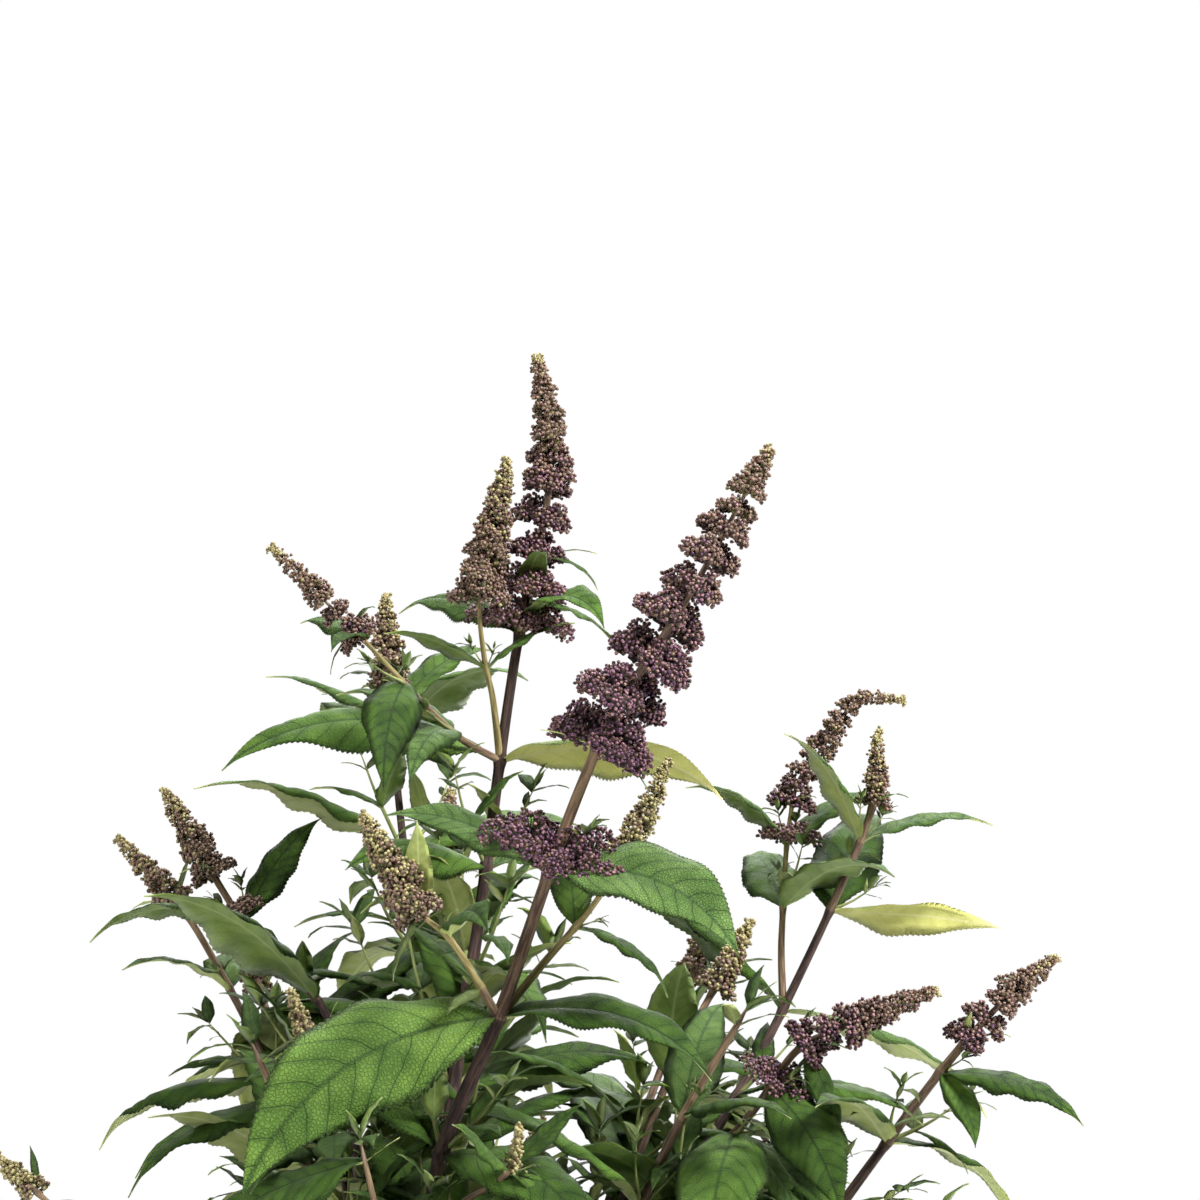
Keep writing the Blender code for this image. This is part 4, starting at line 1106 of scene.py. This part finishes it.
def trunk_parts():
    """The woody foot with its stubs, its bark cracked lengthwise."""
    look = list(BARKS).index("stem_wood")
    angle = angles(FOOT_SIDES)
    z = np.linspace(0, STOOL[-1][0], FOOT_ROWS)[:, None]
    crack = np.abs(np.sin(10 * angle + 0.9 * np.sin(55 * z + 2 * angle) + 1.7 * np.sin(2 * angle + 30 * z)))
    crack = crack ** 0.5 * np.clip(z / 0.004, 0, 1)
    r = stool_radius(z, angle) - CRACK_DEPTH + CRACK_DEPTH * crack
    rings = around(r, angle, z)
    parts = [tube_part(rings, look, rings.copy())]
    share = np.linspace(0, 1, STUB_ROWS)
    for shoot in SEEN + UNSEEN:
        foot, way = stub(*shoot.foot)
        points = foot - way * STUB_DEPTH * (1 - share[:, None])
        radii = shoot.radius * (1.6 - 0.5 * share) * (1 + 0.08 * np.sin(9 * share))
        rings = ringed(points, radii, STUB_SIDES, 0, 0.05)
        parts.append(tube_part(rings, look, np.repeat(points[:, None], STUB_SIDES, 1)))
    return parts


def tip_leaves(made, dice):
    """The youngest leaves, still folded together at the tip of a stem without a panicle."""
    shoot, line, found = made["shoot"], made["line"], []
    size = min(0.036, 0.4 * shoot.leaf)
    for k in range(4):
        s = line.length - 0.0012 * k
        way = line.way(s)
        out = outward(way, shoot.turn + 60 + 137 * k)
        start = unit(way + out * (0.2 + 0.25 * k))
        length = size * (0.5 + 0.16 * k)
        found.append(Leaf(line.at(s), start, length, length * 0.34, 20 + 16 * k, dice.uniform(-15, 15), 25))
    return found


found, axils = plant()
mains = {}  # the main stem that each shoot is on, itself, its branches and their axil shoots
leaves, stems, buds, stalks = (defaultdict(list) for _ in range(4))
for made in found + axils:
    shoot = made["shoot"]
    parent = shoot.foot[0]
    mains[shoot.name] = shoot.name if parent in RINGS else mains[parent]
    owner = "foliage_" + mains[shoot.name]
    dice = random.Random(shoot.name + " looks")
    near, small = shoot.name in NEAR_SHOOTS, "_axil_" in shoot.name
    for k, side, leaf in made["leaves"]:
        grade = grade_of(leaf, near and (k, side) in OWN.get(shoot.name, {}), small or shoot in UNSEEN)
        leaves[owner].append(leaf_part(leaf, grade, *tone_of(shoot.name, k, side, leaf, dice), dice))
    if not shoot.spike:
        for leaf in tip_leaves(made, dice):
            tone = 4 if leaf.length < YOUNG_LEAF / 2 else 3
            leaves[owner].append(leaf_part(leaf, "small", tone, len(UPPERS) + 2, dice))
    kind = "axil" if small else "branch" if parent not in RINGS else "near" if near else "main"
    stems[owner].append(stem_part(made, *STEMS[kind]))
    if shoot.spike:
        form = NEAR_BUD if shoot.name == "front" else FAR_BUD
        heads, carriers = panicle_parts(made, form, COARSE.get(shoot.name, COARSE_ELSE), dice)
        buds[owner] += heads
        stalks[owner] += carriers

leaf_looks = [leaf_material(name, shades, 0.58, 0.16) for name, shades in UPPERS.items()]
leaf_looks += [leaf_material(name, shades, 0.8, 0.15, under=True) for name, shades in UNDERS.items()]
bark_looks = [bark_material(name, *look) for name, look in BARKS.items()]
bud_looks = [bud_material(name, shades) for name, shades in BUDS.items()]
for name, shades in CORES.items():
    bud_material(name, shades, 0.8)
pieces_of("leaves", leaves, leaf_looks)
pieces_of("stems", stems, bark_looks)
pieces_of("buds", buds, bud_looks)
pieces_of("stalks", stalks, [bpy.data.materials[name] for name in STALKS])
joined("trunk_bark", trunk_parts(), bark_looks, ["trunk"])
canes = sorted(name for name in frame["nodes"] if name.startswith("cane_"))
for piece in [o for o in bpy.data.objects if o.name.startswith("stems_")]:
    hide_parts(*canes)


# Stage, light and camera
def stage():
    """A round white floor just under the plant, which isn't part of it."""
    floor = bpy.data.meshes.new("floor")
    reach, count, low = 1.1, 96, -0.0005
    floor.from_pydata(around(reach, angles(count), low).tolist(), [], [range(count)])
    made, tree, shader = fresh("floor_white", 0.9, 0.1)
    grain = noise(node(tree, "ShaderNodeTexCoord", output="Object"), 40.0, 2.0)
    shade = mixed(grain, linear((244, 244, 243)), linear((250, 250, 249)))
    floor.materials.append(finished(made, shader, shade))
    put("floor", floor)


def lamp(name, place, target, size, power):
    """A round lamp that the camera doesn't see, aimed at a point."""
    light = bpy.data.lights.new(name, "AREA")
    light.shape, light.size, light.energy = "DISK", size, power
    made = put(name, light)
    made.location = place
    made.visible_camera = False
    aim = np.array(target) - np.array(place)
    made.rotation_euler = Vector(aim).to_track_quat("-Z", "Y").to_euler()


stage()
world = bpy.data.worlds.new("studio")
bpy.context.scene.world = world
world.use_nodes = True
white = world.node_tree.nodes["Background"]
white.inputs["Color"].default_value = (1, 1, 1, 1)
white.inputs["Strength"].default_value = 1.0
world.cycles_visibility.diffuse = False
world.cycles_visibility.glossy = False
bpy.context.scene.view_settings.view_transform = "Standard"
# Each lamp's place, aim, diameter and watts
lamp("key", (1.7, -1.2, 2.1), (0.05, 0, 0.45), 0.9, 125)
lamp("fill", (-1.8, -1.7, 1.5), (0.05, 0, 0.4), 1.8, 46)
lamp("back", (0.3, 2.4, 1.6), (0.05, 0, 0.45), 2.4, 80)
lamp("top", (0, 0.2, 2.8), (0.05, 0, 0.4), 1.6, 44)

# The camera looks level along +Y, as the photograph does
EYE = (0.065, -1.7, 0.57)
HALF_WIDTH = 0.3  # of the view, at the main stem
lens = bpy.data.cameras.new("camera")
lens.sensor_width = 36
lens.lens = lens.sensor_width / 2 * -EYE[1] / HALF_WIDTH
camera = put("camera", lens)
camera.location = EYE
camera.rotation_euler = (math.pi / 2, 0, 0)
bpy.context.scene.camera = camera
